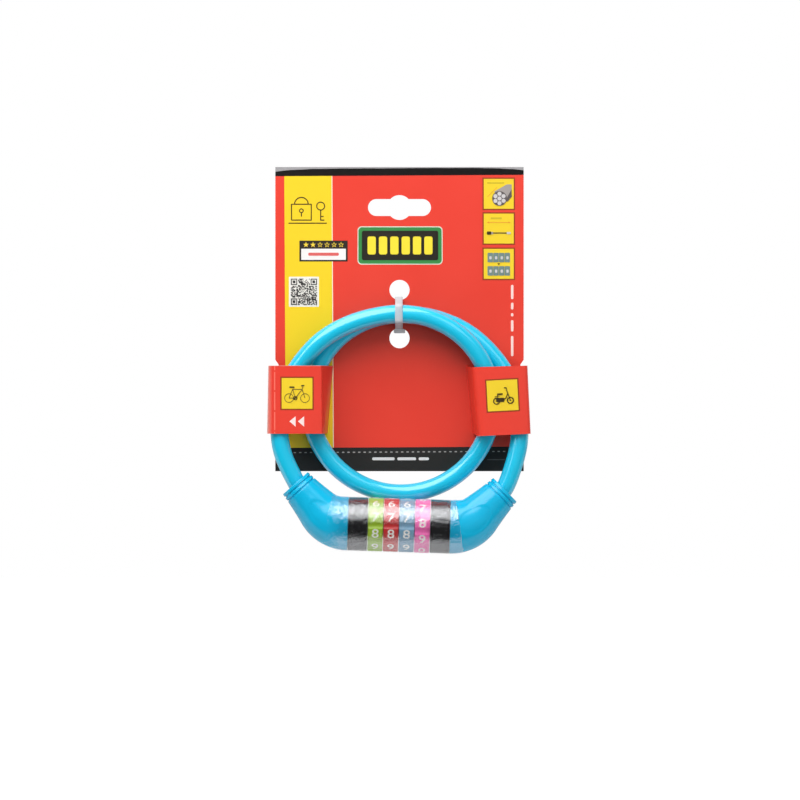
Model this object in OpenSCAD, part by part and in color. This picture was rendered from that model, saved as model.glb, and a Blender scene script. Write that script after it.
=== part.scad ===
// Combination cable lock on its hang card.
// +X runs along the barrel, +Z is up and -Y faces the user. The origin is the middle of the
// hang slot, on the front face of the card.

/* [Cable] */
// Diameter of the sheathed cable
cable_d = 10; // [8:0.5:11]
// Diameter of the steel core
strand_d = 5; // [3:0.5:6]
// Radius of the full loop, at the middle of the cable
coil_r = 49.6; // [46:0.2:54]
// Gap between the two strands where they cross
strand_gap = 0.6; // [0.5:0.1:2]
// Gap between the rear strand and the card
card_gap = 0.2; // [0.1:0.1:1]

/* [Barrel] */
// Outer diameter of the dials
barrel_d = 29.4; // [26:0.2:30]
// Distance from one dial to the next
dial_pitch = 8.6; // [8:0.1:9.5]
// Running gap between neighbours along the barrel
dial_gap = 0.3; // [0.2:0.1:0.5]
// Width of each black collar
collar_w = 10.8; // [9:0.2:14]
// Gap between the barrel and the loop that passes behind it
loop_gap = 0.4; // [0.3:0.1:3]
// Slope of the barrel, down to the right, in degrees
barrel_tilt = 1.8; // [0:0.1:4]

/* [Dials] */
// Depth of the finger grooves
groove_depth = 0.9; // [0.4:0.1:1.2]
// Radius of the finger grooves
groove_r = 2.6; // [2:0.1:3.5]
// Chamfer on the dials' edges
dial_chamfer = 0.5; // [0.2:0.1:1]
// Inner radius of the dials, over the code rings
dial_bore_r = 10; // [9.5:0.1:10.5]
// Height of the lip that seats a code ring
lip_h = 0.7; // [0.5:0.1:1]

/* [Lock core] */
// Outer diameter of the core tube
core_tube_d = 12.4; // [12:0.1:13]
// Diameter of the bolt
bolt_d = 8; // [7:0.1:8.5]
// Running clearance on a radius
run_gap = 0.05; // [0.03:0.01:0.1]
// Width of the bolt's teeth
tooth_w = 2; // [1.6:0.1:2.4]
// Length of the bolt's teeth
tooth_l = 2.2; // [1.6:0.1:2.4]
// Height of the teeth above the core tube
tooth_h = 1.8; // [1:0.1:2]
// Clearance round the teeth
tooth_gap = 0.25; // [0.15:0.05:0.4]
// Length of each code ring
code_ring_l = 5; // [4.5:0.1:5.2]
// Diameter of the cross pins
pin_d = 2; // [1.5:0.1:2.5]
// Thickness of the index spring
leaf_t = 0.4; // [0.2:0.05:0.5]

/* [Elbows] */
// Turn of the elbows, in degrees
elbow_bend = 46.5; // [40:0.5:52]
// Radius of the turn
bend_r = 22; // [19:0.5:26]
// Straight length from the turn to the mouth
leg_l = 20; // [18:0.5:24]
// Outer diameter at the mouth
mouth_d = 18.4; // [17:0.2:20]
// Room between the cable and the mouth's bore, on a radius
mouth_gap = 1.5; // [1:0.1:2]
// How deep the cable's end lies inside the mouth
cable_depth = 16; // [14:0.5:17]
// Clearance of the parts inside a cover
cover_gap = 0.2; // [0.1:0.05:0.4]

/* [Fittings] */
// Length of the ferrules
ferrule_l = 11; // [8:0.5:12]
// Wall of the ferrules
ferrule_wall = 1.3; // [0.8:0.1:1.6]
// Wall of the knuckles round a ferrule
knuckle_wall = 2.3; // [1.5:0.1:2.4]
// Radius of the knuckles' discs
disc_r = 11.5; // [10:0.1:12]
// Thickness of the knuckles' discs
disc_t = 5; // [4.5:0.1:6]

/* [Card] */
// Width of the card
card_w = 138; // [130:1:142]
// Height of the card
card_h = 169; // [160:1:190]
// Thickness of the card
card_t = 0.8; // [0.4:0.1:1.5]
// Distance from the hang slot's middle up to the card's top
slot_drop = 22.5; // [18:0.5:30]
// Width of the hang slot
slot_w = 35; // [28:0.5:36]
// Height of the hang slot
slot_h = 9.4; // [8:0.2:11]
// Diameter of the round hole in the middle of the slot
slot_hole_d = 13.8; // [12:0.2:16]
// Distance from the hang slot's middle down to the middle of the loop
coil_drop = 109; // [104:0.5:115]
// Height of the side tabs
tab_h = 37.5; // [30:0.5:40]
// Distance from the loop's middle up to the top of the tabs
tab_rise = 21; // [16:0.5:22]
// Room round the cable inside a tab
tab_gap = 0.5; // [0.4:0.1:2]

/* [Tie and film] */
// Width of the tie's strap
tie_w = 4.2; // [3:0.1:5]
// Thickness of the tie's strap
tie_t = 1.1; // [0.8:0.1:1.5]
// Clearance between the tie and the cable
tie_gap = 0.3; // [0.2:0.1:1]
// Diameter of the holes for the tie
tie_hole_d = 11.2; // [9:0.2:12]
// Thickness of the clear film
film_t = 0.12; // [0.1:0.01:0.3]
// Gap between the dials and the film
film_gap = 0.2; // [0.15:0.05:0.4]
// How far the film reaches past each collar
film_reach = 3; // [1:0.5:4]

/* [Hidden] */

$fn = 64;
dial_count = 4;
digits = 10;
digit_angle = 360 / digits;
dial_turn = [0, 0, 0, 10];

// Planes of the two strands, and the barrel, which lies in the plane of the front one
rear_y = -card_gap - cable_d / 2;
front_y = rear_y - cable_d - strand_gap;
coil_x = 0.8;
coil_wide = 1.02;
coil_z = -coil_drop;
coil_top = coil_z + coil_r;
barrel_r = barrel_d / 2;
barrel_x = -0.3;
film_r = barrel_r + film_gap;
barrel_reach = film_r + film_t + loop_gap + cable_d / 2;
barrel_z = coil_z - coil_r - sqrt(pow(barrel_reach, 2) - pow(front_y - rear_y, 2));

// Stations along the barrel, from its middle
stack_end = dial_count * dial_pitch / 2;
collar_end = stack_end + collar_w;
elbow_face = collar_end + dial_gap / 2;
core_r = core_tube_d / 2;
bolt_r = bolt_d / 2;
core_bore_r = bolt_r + run_gap;
ring_bore_r = core_r + run_gap;
tooth_r = core_r + tooth_h;
tooth_slot_r = tooth_r + tooth_gap;
tooth_slot_w = tooth_w + 2 * tooth_gap;
collar_lip = 1.2;
core_end = collar_end - collar_lip;

// Code rings: each one fills the right part of its dial, and a tooth rests to its left
ring_right = dial_pitch / 2 - dial_gap;
ring_left = ring_right - code_ring_l;
tooth_mid = (ring_left + ring_right - dial_pitch) / 2;
code_ring_r = dial_bore_r - run_gap * 2;
key_w = 2;
key_h = 0.8;
lip_r = dial_bore_r - lip_h;
bump_r = 0.75;
leaf_w = 2.4;
leaf_side = 0.1;
leaf_seat = 0.95;
leaf_z = core_r - leaf_seat;
leaf_gap = 0.05;
leaf_over = 0.8;
leaf_half = stack_end + leaf_over;
flute_r = 0.8;

// Bolt and plug
tip_reach = 1.6;
tip_gap = 1.2;
bolt_tip = -stack_end - tip_reach;
plug_in = bolt_tip - tip_gap;
pin_short = 0.2;
bolt_hold = 7;
bolt_out = elbow_face + bolt_hold;
pin_fit = 0.04;
disc_gap = 0.2;
disc_face = elbow_face + disc_gap;
pin_x = disc_face + disc_t / 2;
left_pin_in = 2.2;
left_pin_x = left_pin_in - core_end;

// Elbows
mouth_r = mouth_d / 2;
mouth_bore_r = cable_d / 2 + mouth_gap;
bend_l = bend_r * PI / 180;
ferrule_r = strand_d / 2 + run_gap + ferrule_wall;
knuckle_r = ferrule_r + run_gap + knuckle_wall;
rod_extra = 0.4;
body_rod_r = knuckle_r + rod_extra;
rod_l = 11;
rim_places = [2.5, 4.9];
rim_groove_w = 0.7;
rim_groove_depth = 0.6;
elbow_rings = 20;
elbow_sides = 36;

// Share of the taper from barrel to mouth, along the elbow
elbow_taper = [[0, 0], [0.08, 0], [0.17, 0.03], [0.25, 0.09], [0.35, 0.21], [0.43, 0.34],
               [0.5, 0.46], [0.6, 0.59], [0.7, 0.71], [0.8, 0.82], [0.9, 0.92], [1, 1]];

// Cable leads outside the loop: angle about the loop's middle, distance outside the loop, and
// how far forward the strand lies, from 0 at the card to 1 in the front plane
left_lead = [[205, 21.3, 1], [197, 20.1, 0.98], [188, 18.2, 0.93], [179, 16, 0.86], [170, 13.6, 0.8],
             [161, 11, 0.78], [152, 8.7, 0.84], [143, 6.8, 0.92], [134, 4.8, 0.97], [125, 3, 1],
             [116, 1.6, 1], [107, 0.6, 1], [98, 0.2, 1]];
right_lead = [[80, 0.2, 0], [70, 1, 0], [61, 2, 0], [52, 3.4, 0], [43, 4.9, 0], [34, 6.5, 0.02],
              [25, 8.4, 0.06], [16, 10.7, 0.14], [7, 12.8, 0.28], [-1, 14.6, 0.45], [-9, 16.5, 0.67],
              [-17, 18.7, 0.84], [-25, 20.4, 0.96]];
// The loop leaves the front plane at one angle and lies at the card from the other
front_until = 60;
rear_from = -70;
coil_step = 10;
// Bend of the cable just inside each mouth
lead_bend_r = 26;
left_turn = 12;
right_turn = 24;

// Tabs: their reach outside the loop, their laps on the card, the notch above them, and how far
// the inner wall's front and rear edges lie inside the loop, at the top and at the foot. Where a
// value has two entries, the first is the left tab's
tab_top = coil_z + tab_rise;
tab_foot = tab_top - tab_h;
tab_front = front_y - cable_d / 2 - tab_gap;
tab_reach = [17.5, 16.9];
tab_root = 0.5;
notch_rise = 3.4;
notch_depth = 1.8;
tab_lap = 0.1;
tab_inner = [[[1.6, 7.7], [2.1, 4.7]], [[4.4, 7.4], [1.2, 3.8]]];

// Tie: its holes above and below the strands, its seat inside their edges, and how far its loop
// reaches up and down at the card
tie_rise = 8.6;
tie_fall = 8.2;
tie_top = coil_top + cable_d / 2 + tie_rise;
tie_foot = coil_top - cable_d / 2 - tie_fall;
tie_round = 1;
tie_seat = 0.8;
tie_up = tie_top - tie_hole_d / 2 + tie_seat - coil_top;
tie_down = coil_top - tie_foot - tie_hole_d / 2 + tie_seat;
tie_slack = 0.5;
tie_back = card_t + tie_slack;
head_w = 6.4;
head_h = 5.6;
head_t = 4.6;
head_drop = 2.4;

function lead_share(y_share) = rear_y + (front_y - rear_y) * y_share;
function polar(p) = let(r = coil_r + p[1])
    [coil_x + r * cos(p[0]), lead_share(p[2]), coil_z + r * sin(p[0])];
function ease(u) = (1 - cos(180 * u)) / 2;

// Elbow centreline: place and heading at the distance s from the elbow's face
elbow_l = bend_l * elbow_bend + leg_l;
function elbow_heading(s) = min(elbow_bend, s / bend_l);
function elbow_at(s) = let(a = elbow_heading(s), rest = max(0, s - bend_l * elbow_bend))
    [bend_r * sin(a) + rest * cos(a), bend_r * (1 - cos(a)) + rest * sin(a)];
function elbow_r(s) = barrel_r + (mouth_r - barrel_r) * lookup(s / elbow_l, elbow_taper);

// A point or direction of the barrel, turned by its tilt
function tilted(p) = [p[0] * cos(barrel_tilt) + p[2] * sin(barrel_tilt), p[1],
                      p[2] * cos(barrel_tilt) - p[0] * sin(barrel_tilt)];

// Mouth of an elbow, and the way its leg points; side is -1 on the left and 1 on the right
function leg_way(side) = tilted([side * cos(elbow_bend), 0, sin(elbow_bend)]);
function mouth_at(side) = let(p = elbow_at(elbow_l))
    [barrel_x, front_y, barrel_z] + tilted([side * (elbow_face + p[0]), 0, p[1]]);

// The cable's straight end, and the bend that follows it in the mouth
function bend_step(side, a) = let(turned = elbow_bend + a) lead_bend_r * tilted([
    side * (sin(turned) - sin(elbow_bend)), 0, cos(elbow_bend) - cos(turned)]);
straight_out = cable_depth - cable_d;
core_short = 1.5;
function end_run(side, turn) = [
    for (d = [cable_depth, cable_depth - cable_d / 2]) mouth_at(side) - d * leg_way(side),
    for (a = [0, turn / 2, turn]) mouth_at(side) - straight_out * leg_way(side) + bend_step(side, a)
];
function backwards(list) = [for (i = [len(list) - 1:-1:0]) list[i]];

function loop_share(a) = 1 - ease(min(1, max(0, (front_until - a) / (front_until - rear_from))));
coil_run = [for (a = [90:-coil_step:-270])
    [coil_x + coil_wide * coil_r * cos(a), lead_share(loop_share(a)), coil_z + coil_r * sin(a)]];
route = concat(
    end_run(-1, left_turn),
    [for (p = left_lead) polar(p)],
    coil_run,
    [for (p = right_lead) polar(p)],
    backwards(end_run(1, right_turn))
);
function in_ferrule(side) = mouth_at(side) - (cable_depth + ferrule_l - core_short) * leg_way(side);
core_route = concat([in_ferrule(-1)], route, [in_ferrule(1)]);

// Sides of the swept tubes, turned so that one side faces the card
sheath_gap = 0.3;
sheath_sides = 12;
core_sides = 8;
function unit(v) = v / norm(v);
function tangent(path, i) = let(last = len(path) - 1)
    i == 0 ? unit(path[1] - path[0]) :
    i == last ? unit(path[last] - path[last - 1]) :
    unit(unit(path[i + 1] - path[i]) + unit(path[i] - path[i - 1]));
function ring(path, i, r, sides) = let(t = tangent(path, i), n = unit([0, 1, 0] - t[1] * t), b = cross(t, n))
    [for (k = [0:sides - 1]) let(a = 360 * (k + 0.5) / sides) path[i] + r * (cos(a) * n + sin(a) * b)];

last = len(route) - 1;
near = 2.5 * cable_d;
far_along = 5;
gaps = [for (i = [0:last]) for (j = [i + 1:last])
    if (norm(route[i] - route[j]) < near && j - i > far_along) norm(route[i] - route[j]) - cable_d];
legs = [for (i = [1:last]) norm(route[i] - route[i - 1])];
function sum(list, i = 0) = i < len(list) ? list[i] + sum(list, i + 1) : 0;
echo(least_gap_of_the_coil_to_itself = min(gaps), cable_length = sum(legs));

// --- Shared shapes ---

module along_x(x) { translate([x, 0, 0]) rotate([0, 90, 0]) children(); }

module at_barrel() { translate([barrel_x, front_y, barrel_z]) rotate([0, barrel_tilt, 0]) children(); }

module at_leg(side, depth) {
    translate(mouth_at(side) - depth * leg_way(side))
        rotate([0, barrel_tilt + side * (90 - elbow_bend), 0]) children();
}

module solid_tube(path, r, sides) {
    last = len(path) - 1;
    polyhedron(
        [for (i = [0:last]) each ring(path, i, r, sides)],
        concat(
            [[for (k = [0:sides - 1]) k]],
            [for (i = [0:last - 1]) for (k = [0:sides - 1]) let(m = (k + 1) % sides) each
                [[i * sides + k, (i + 1) * sides + k, i * sides + m],
                 [i * sides + m, (i + 1) * sides + k, (i + 1) * sides + m]]],
            [[for (k = [0:sides - 1]) last * sides + sides - 1 - k]]
        )
    );
}

module hollow_tube(path, r_out, r_in, sides) {
    last = len(path) - 1;
    shell = (last + 1) * sides;
    function at(i, k) = i * sides + k % sides;
    polyhedron(
        concat(
            [for (i = [0:last]) each ring(path, i, r_out, sides)],
            [for (i = [0:last]) each ring(path, i, r_in, sides)]
        ),
        concat(
            [for (i = [0:last - 1]) for (k = [0:sides - 1]) each
                [[at(i, k), at(i + 1, k), at(i, k + 1)],
                 [at(i, k + 1), at(i + 1, k), at(i + 1, k + 1)],
                 [shell + at(i, k), shell + at(i, k + 1), shell + at(i + 1, k)],
                 [shell + at(i, k + 1), shell + at(i + 1, k + 1), shell + at(i + 1, k)]]],
            [for (k = [0:sides - 1]) each
                [[at(0, k), at(0, k + 1), shell + at(0, k)],
                 [at(0, k + 1), shell + at(0, k + 1), shell + at(0, k)],
                 [at(last, k), shell + at(last, k), at(last, k + 1)],
                 [at(last, k + 1), shell + at(last, k), shell + at(last, k + 1)]]]
        )
    );
}

module elbow_shell() {
    sides = elbow_sides;
    function station(i) =
        let(s = elbow_l * i / elbow_rings, p = elbow_at(s), a = elbow_heading(s), r = elbow_r(s))
        [for (k = [0:sides - 1]) let(q = 360 * k / sides)
            [p[0] - r * sin(q) * sin(a), r * cos(q), p[1] + r * sin(q) * cos(a)]];
    polyhedron(
        [for (i = [0:elbow_rings]) each station(i)],
        concat(
            [[for (k = [0:sides - 1]) k]],
            [for (i = [0:elbow_rings - 1]) for (k = [0:sides - 1]) let(m = (k + 1) % sides) each
                [[i * sides + k, (i + 1) * sides + k, i * sides + m],
                 [i * sides + m, (i + 1) * sides + k, (i + 1) * sides + m]]],
            [[for (k = [0:sides - 1]) elbow_rings * sides + sides - 1 - k]]
        )
    );
}

// --- Cable ---

module cable_sheath() {
    color("deepskyblue") hollow_tube(route, cable_d / 2, strand_d / 2 + sheath_gap, sheath_sides);
}

module cable_core() {
    color("silver") solid_tube(core_route, strand_d / 2, core_sides);
}

// --- Elbow covers ---

module elbow(side) {
    difference() {
        at_barrel() mirror([side < 0 ? 1 : 0, 0, 0]) translate([elbow_face, 0, 0]) elbow_shell();
        at_leg(side, 0) for (depth = rim_places) translate([0, 0, -depth]) difference() {
            cylinder(r = 2 * mouth_r, h = rim_groove_w);
            translate([0, 0, -1])
                cylinder(r = elbow_r(elbow_l - depth) - rim_groove_depth, h = rim_groove_w + 2);
        }
        at_leg(side, cable_depth + ferrule_l + cover_gap)
            cylinder(r = mouth_bore_r, h = 2 * (cable_depth + ferrule_l));
        at_barrel() along_x(side * (elbow_face + disc_t / 2 + cover_gap - 1))
            cylinder(r = disc_r + cover_gap, h = disc_t + 2 + 2 * cover_gap, center = true);
        at_barrel() along_x(side * (disc_face + rod_l / 2))
            cylinder(r = body_rod_r + cover_gap, h = rod_l + 2 * cover_gap, center = true);
    }
}

module left_elbow() { color("deepskyblue") elbow(-1); }

module right_elbow() { color("deepskyblue") elbow(1); }

// --- Knuckles, ferrules and pins inside the elbows ---

module knuckle(side) {
    difference() {
        union() {
            at_barrel() along_x(side * (disc_face + disc_t / 2))
                cylinder(r = disc_r, h = disc_t, center = true);
            at_barrel() along_x(side * (disc_face + rod_l / 2))
                cylinder(r = body_rod_r, h = rod_l, center = true);
            at_leg(side, cable_depth + ferrule_l) cylinder(r = knuckle_r, h = ferrule_l - 1);
        }
        at_leg(side, cable_depth + ferrule_l) cylinder(r = ferrule_r + run_gap, h = ferrule_l + 1);
    }
}

module ferrule(side) {
    at_leg(side, cable_depth + ferrule_l) difference() {
        cylinder(r = ferrule_r, h = ferrule_l);
        translate([0, 0, 1]) cylinder(r = strand_d / 2 + run_gap, h = ferrule_l);
    }
}

module cross_bar(x, diameter, length) {
    at_barrel() translate([x, 0, 0]) rotate([90, 0, 0]) cylinder(d = diameter, h = length, center = true);
}

module pin_hole(x, length) { cross_bar(x, pin_d + pin_fit, length); }

module left_knuckle() {
    color("gray") difference() {
        union() {
            knuckle(-1);
            at_barrel() along_x(-disc_face - 1) cylinder(r = bolt_r, h = plug_in + disc_face + 1);
        }
        pin_hole(left_pin_x, core_tube_d);
    }
}

module left_ferrule() { color("lightgray") ferrule(-1); }

module left_pin() { color("lightgray") cross_bar(left_pin_x, pin_d, core_tube_d - 2 * pin_short); }

module right_knuckle() {
    color("gray") difference() {
        knuckle(1);
        at_barrel() along_x(elbow_face - 1) cylinder(r = core_bore_r, h = bolt_out - elbow_face + 1);
        pin_hole(pin_x, 4 * disc_r);
    }
}

module right_ferrule() { color("lightgray") ferrule(1); }

module right_pin() { color("lightgray") cross_bar(pin_x, pin_d, 2 * (disc_r - pin_d)); }

// --- Barrel ---

module core_tube() {
    color("silver") difference() {
        at_barrel() core_blank();
        pin_hole(left_pin_x, 2 * core_tube_d);
    }
}

module core_blank() {
    difference() {
        along_x(-core_end) cylinder(r = core_r, h = 2 * core_end);
        along_x(-core_end - 1) cylinder(r = core_bore_r, h = 2 * core_end + 2);
        translate([-stack_end, -tooth_slot_w / 2, -core_r - 1])
            cube([core_end + stack_end + 1, tooth_slot_w, core_r + 1]);
        translate([-leaf_half - leaf_side, -leaf_w / 2 - leaf_side, leaf_z])
            cube([2 * (leaf_half + leaf_side), leaf_w + 2 * leaf_side, core_r]);
        clip_groove();
    }
}

clip_t = 1;
clip_in = 2.4;
clip_bite = 0.8;
clip_stand = 1.8;
clip_play = 0.1;
clip_x = core_end - clip_in;
clip_seat_r = core_r - clip_bite;
module clip_groove() {
    along_x(clip_x - clip_play / 2) difference() {
        cylinder(r = core_r + 1, h = clip_t + clip_play);
        translate([0, 0, -1]) cylinder(r = clip_seat_r, h = clip_t + 2);
    }
}

module end_clip() {
    color("dimgray") at_barrel() difference() {
        along_x(clip_x) cylinder(r = core_r + clip_stand, h = clip_t);
        along_x(clip_x - 1) cylinder(r = clip_seat_r + run_gap, h = clip_t + 2);
        translate([clip_x - 1, -tooth_slot_w, -core_r * 2]) cube([clip_t + 2, tooth_slot_w * 2, core_r * 2]);
    }
}

module index_spring() {
    color("goldenrod") at_barrel() {
        translate([-leaf_half, -leaf_w / 2, leaf_z + leaf_gap]) cube([2 * leaf_half, leaf_w, leaf_t]);
        for (i = [1:dial_count]) translate([dial_x(i) + (ring_left + ring_right) / 2, 0, leaf_z + leaf_gap])
            intersection() {
                rotate([90, 0, 0]) cylinder(r = bump_r, h = leaf_w, center = true);
                translate([-leaf_w, -leaf_w, 0]) cube(2 * leaf_w);
            }
    }
}

module collar(side) {
    difference() {
        along_x(side > 0 ? stack_end + dial_gap / 2 : -collar_end) difference() {
            cylinder(r = barrel_r, h = collar_w - dial_gap / 2);
            translate([0, 0, -1]) cylinder(r = ring_bore_r, h = collar_w + 2);
        }
        children();
    }
}

module left_collar() {
    color([0.12, 0.12, 0.13]) at_barrel() collar(-1);
}

module right_collar() {
    color([0.12, 0.12, 0.13]) at_barrel() collar(1) {
        translate([stack_end, -tooth_slot_w / 2, -tooth_slot_r])
            cube([collar_w + 1, tooth_slot_w, tooth_slot_r]);
        along_x(clip_x - clip_play) cylinder(r = core_r + clip_stand + cover_gap, h = collar_w);
    }
}

// --- Dials and code rings ---

function dial_x(i) = (i - (dial_count + 1) / 2) * dial_pitch;

module dial(i) {
    w = dial_pitch - dial_gap;
    at_barrel() translate([dial_x(i), 0, 0]) difference() {
        rotate([0, 90, 0]) rotate_extrude() polygon([
            [lip_r, -w / 2], [barrel_r - dial_chamfer, -w / 2], [barrel_r, -w / 2 + dial_chamfer],
            [barrel_r, w / 2 - dial_chamfer], [barrel_r - dial_chamfer, w / 2], [dial_bore_r, w / 2],
            [dial_bore_r, ring_left - run_gap], [lip_r, ring_left - run_gap]
        ]);
        for (k = [0:digits - 1]) rotate([k * digit_angle + dial_turn[i - 1], 0, 0])
            translate([0, -barrel_r - groove_r + groove_depth, 0]) rotate([0, 90, 0])
                cylinder(r = groove_r, h = dial_pitch, center = true);
        for (k = [0:digits - 1]) rotate([k * digit_angle, 0, 0]) {
            translate([ring_left - run_gap, -key_w / 2 - run_gap, dial_bore_r - 1])
                cube([dial_pitch, key_w + 2 * run_gap, 1 + key_h + run_gap]);
        }
    }
}

module code_ring(i) {
    at_barrel() translate([dial_x(i), 0, 0]) difference() {
        union() {
            along_x(ring_left) cylinder(r = code_ring_r, h = code_ring_l);
            for (k = [0:digits - 1]) rotate([k * digit_angle, 0, 0])
                translate([ring_left, -key_w / 2, code_ring_r - 1]) cube([code_ring_l, key_w, 1 + key_h]);
        }
        along_x(ring_left - 1) cylinder(r = ring_bore_r, h = code_ring_l + 2);
        for (k = [0:digits - 1]) rotate([k * digit_angle, 0, 0])
            translate([0, 0, ring_bore_r]) rotate([0, 90, 0])
                cylinder(r = flute_r, h = dial_pitch * 2, center = true);
        translate([ring_left - 1, -tooth_slot_w / 2, -tooth_slot_r])
            cube([code_ring_l + 2, tooth_slot_w, tooth_slot_r]);
    }
}

module dial_1() { color("yellowgreen") dial(1); }

module dial_2() { color("indianred") dial(2); }

module dial_3() { color("lightsteelblue") dial(3); }

module dial_4() { color("hotpink") dial(4); }

module code_ring_1() { color("burlywood") code_ring(1); }

module code_ring_2() { color("burlywood") code_ring(2); }

module code_ring_3() { color("burlywood") code_ring(3); }

module code_ring_4() { color("burlywood") code_ring(4); }

module bolt() {
    color("silver") difference() {
        at_barrel() {
            along_x(bolt_tip + 1) cylinder(r = bolt_r, h = bolt_out - bolt_tip - 1 - cover_gap);
            along_x(bolt_tip) rotate_extrude() polygon([[0, 0], [bolt_r - 1, 0], [bolt_r, 1], [0, 1]]);
            for (i = [1:dial_count]) translate([dial_x(i) + tooth_mid - tooth_l / 2, -tooth_w / 2, -tooth_r])
                cube([tooth_l, tooth_w, tooth_r]);
        }
        pin_hole(pin_x, 4 * bolt_r);
    }
}

// --- Card, tie and film ---

module slot_outline() {
    for (side = [-1, 1]) translate([side * (slot_w - slot_h) / 2, 0]) circle(d = slot_h);
    square([slot_w - slot_h, slot_h], center = true);
    circle(d = slot_hole_d);
}

module card_outline() {
    foot = slot_drop - card_h;
    notch = card_w / 2 - notch_depth;
    polygon([
        [-card_w / 2, slot_drop], [card_w / 2, slot_drop],
        [card_w / 2, tab_top + notch_rise], [notch, tab_top + notch_rise / 4], [card_w / 2, tab_top],
        [card_w / 2, foot], [-card_w / 2, foot],
        [-card_w / 2, tab_top], [-notch, tab_top + notch_rise / 4], [-card_w / 2, tab_top + notch_rise]
    ]);
}

module block(corners) {
    polyhedron(corners, [[0, 2, 1], [0, 3, 2], [4, 5, 6], [4, 6, 7], [0, 1, 5], [0, 5, 4],
                         [1, 2, 6], [1, 6, 5], [2, 3, 7], [2, 7, 6], [3, 0, 4], [3, 4, 7]]);
}

// A tab leaves the card at its side, folds forward, crosses the cable and folds back to the card
module tab(side) {
    which = side < 0 ? 0 : 1;
    tab_outer = coil_r + cable_d / 2 + tab_reach[which] + card_t;
    edges = [for (row = tab_inner[which]) [for (inside = row) coil_r - cable_d / 2 - inside]];
    function inner(row, depth, out) = [edges[row][0] + (edges[row][1] - edges[row][0]) * depth + out,
        tab_front - card_t + (card_t / 2 - tab_front + card_t) * depth, row == 0 ? tab_top : tab_foot];
    mirror([side < 0 ? 1 : 0, 0, 0]) {
        translate([card_w / 2 - tab_root, 0, tab_foot])
            cube([tab_outer - card_w / 2 + tab_root, card_t, tab_h]);
        translate([tab_outer - card_t, tab_front - card_t, tab_foot])
            cube([card_t, card_t - tab_front + card_t / 2, tab_h]);
        translate([0, tab_front - card_t, 0]) rotate([90, 0, 0]) mirror([0, 0, 1])
            linear_extrude(card_t) polygon([
                [edges[0][0] + tab_lap, tab_top], [tab_outer - tab_lap, tab_top],
                [tab_outer - tab_lap, tab_foot], [edges[1][0] + tab_lap, tab_foot]
            ]);
        block([
            inner(0, 0, 0), inner(0, 0, card_t), inner(0, 1, card_t), inner(0, 1, 0),
            inner(1, 0, 0), inner(1, 0, card_t), inner(1, 1, card_t), inner(1, 1, 0)
        ]);
    }
}

module hang_card() {
    color("tomato") {
        rotate([90, 0, 0]) mirror([0, 0, 1]) linear_extrude(card_t) difference() {
            card_outline();
            slot_outline();
            for (z = [tie_top, tie_foot]) translate([0, z]) circle(d = tie_hole_d);
        }
        for (side = [-1, 1]) tab(side);
    }
}

// Outline of the tie's loop, seen from the right: x is up from the coil's top, y is to the rear
module tie_outline(grow) {
    front = front_y - cable_d / 2 - tie_gap + tie_round;
    half = cable_d / 2 + tie_gap - tie_round;
    hull() {
        for (up = [-half, half]) translate([up, front]) circle(r = tie_round + grow, $fn = 24);
        translate([tie_up - tie_round, tie_back - tie_round]) circle(r = tie_round + grow, $fn = 24);
        translate([tie_round - tie_down, tie_back - tie_round]) circle(r = tie_round + grow, $fn = 24);
    }
}

module cable_tie() {
    color("whitesmoke") translate([0, 0, coil_top]) {
        rotate([0, -90, 0]) linear_extrude(tie_w, center = true) difference() {
            tie_outline(tie_t);
            tie_outline(0);
        }
        translate([-head_w / 2, tie_back + tie_t / 2, -tie_down - head_drop]) cube([head_w, head_t, head_h]);
    }
}

module shrink_film() {
    reach = collar_end + film_reach;
    color("white", 0.3) at_barrel() along_x(-reach) difference() {
        cylinder(r = film_r + film_t, h = 2 * reach);
        translate([0, 0, -1]) cylinder(r = film_r, h = 2 * reach + 2);
    }
}

hang_card();
cable_tie();
shrink_film();
cable_sheath();
cable_core();
left_elbow();
left_knuckle();
left_ferrule();
left_pin();
left_collar();
core_tube();
index_spring();
end_clip();
right_collar();
dial_1();
dial_2();
dial_3();
dial_4();
code_ring_1();
code_ring_2();
code_ring_3();
code_ring_4();
bolt();
right_knuckle();
right_pin();
right_ferrule();
right_elbow();
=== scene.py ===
from math import acos, asin, cos, degrees, hypot, pi, radians, sin, sqrt

import bmesh
import bpy
import numpy as np
from mathutils import Matrix, Vector, noise


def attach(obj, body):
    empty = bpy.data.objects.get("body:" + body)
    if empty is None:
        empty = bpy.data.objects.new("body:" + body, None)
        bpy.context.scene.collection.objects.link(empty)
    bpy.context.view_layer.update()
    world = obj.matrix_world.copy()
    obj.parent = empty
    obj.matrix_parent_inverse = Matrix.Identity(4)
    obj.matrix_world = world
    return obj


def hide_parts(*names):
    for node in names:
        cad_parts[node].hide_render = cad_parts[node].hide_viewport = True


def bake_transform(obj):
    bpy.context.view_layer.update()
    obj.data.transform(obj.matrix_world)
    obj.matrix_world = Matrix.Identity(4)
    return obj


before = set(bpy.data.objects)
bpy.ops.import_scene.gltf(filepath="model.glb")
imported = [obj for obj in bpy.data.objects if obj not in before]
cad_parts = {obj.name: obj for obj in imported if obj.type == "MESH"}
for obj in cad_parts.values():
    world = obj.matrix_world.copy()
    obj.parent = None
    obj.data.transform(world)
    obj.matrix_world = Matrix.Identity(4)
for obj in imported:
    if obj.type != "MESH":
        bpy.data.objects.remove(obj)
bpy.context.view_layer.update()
print("frame loaded:", len(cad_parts), "nodes")

# Lengths are in millimetres, in the part's own frame: +X along the barrel, +Z up, -Y to the user,
# and the origin in the middle of the hang slot. Meshes are scaled to metres as they are made.
mm = 0.001
fixedBody = "card_and_barrel"
movingBody = "bolt_end"

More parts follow.
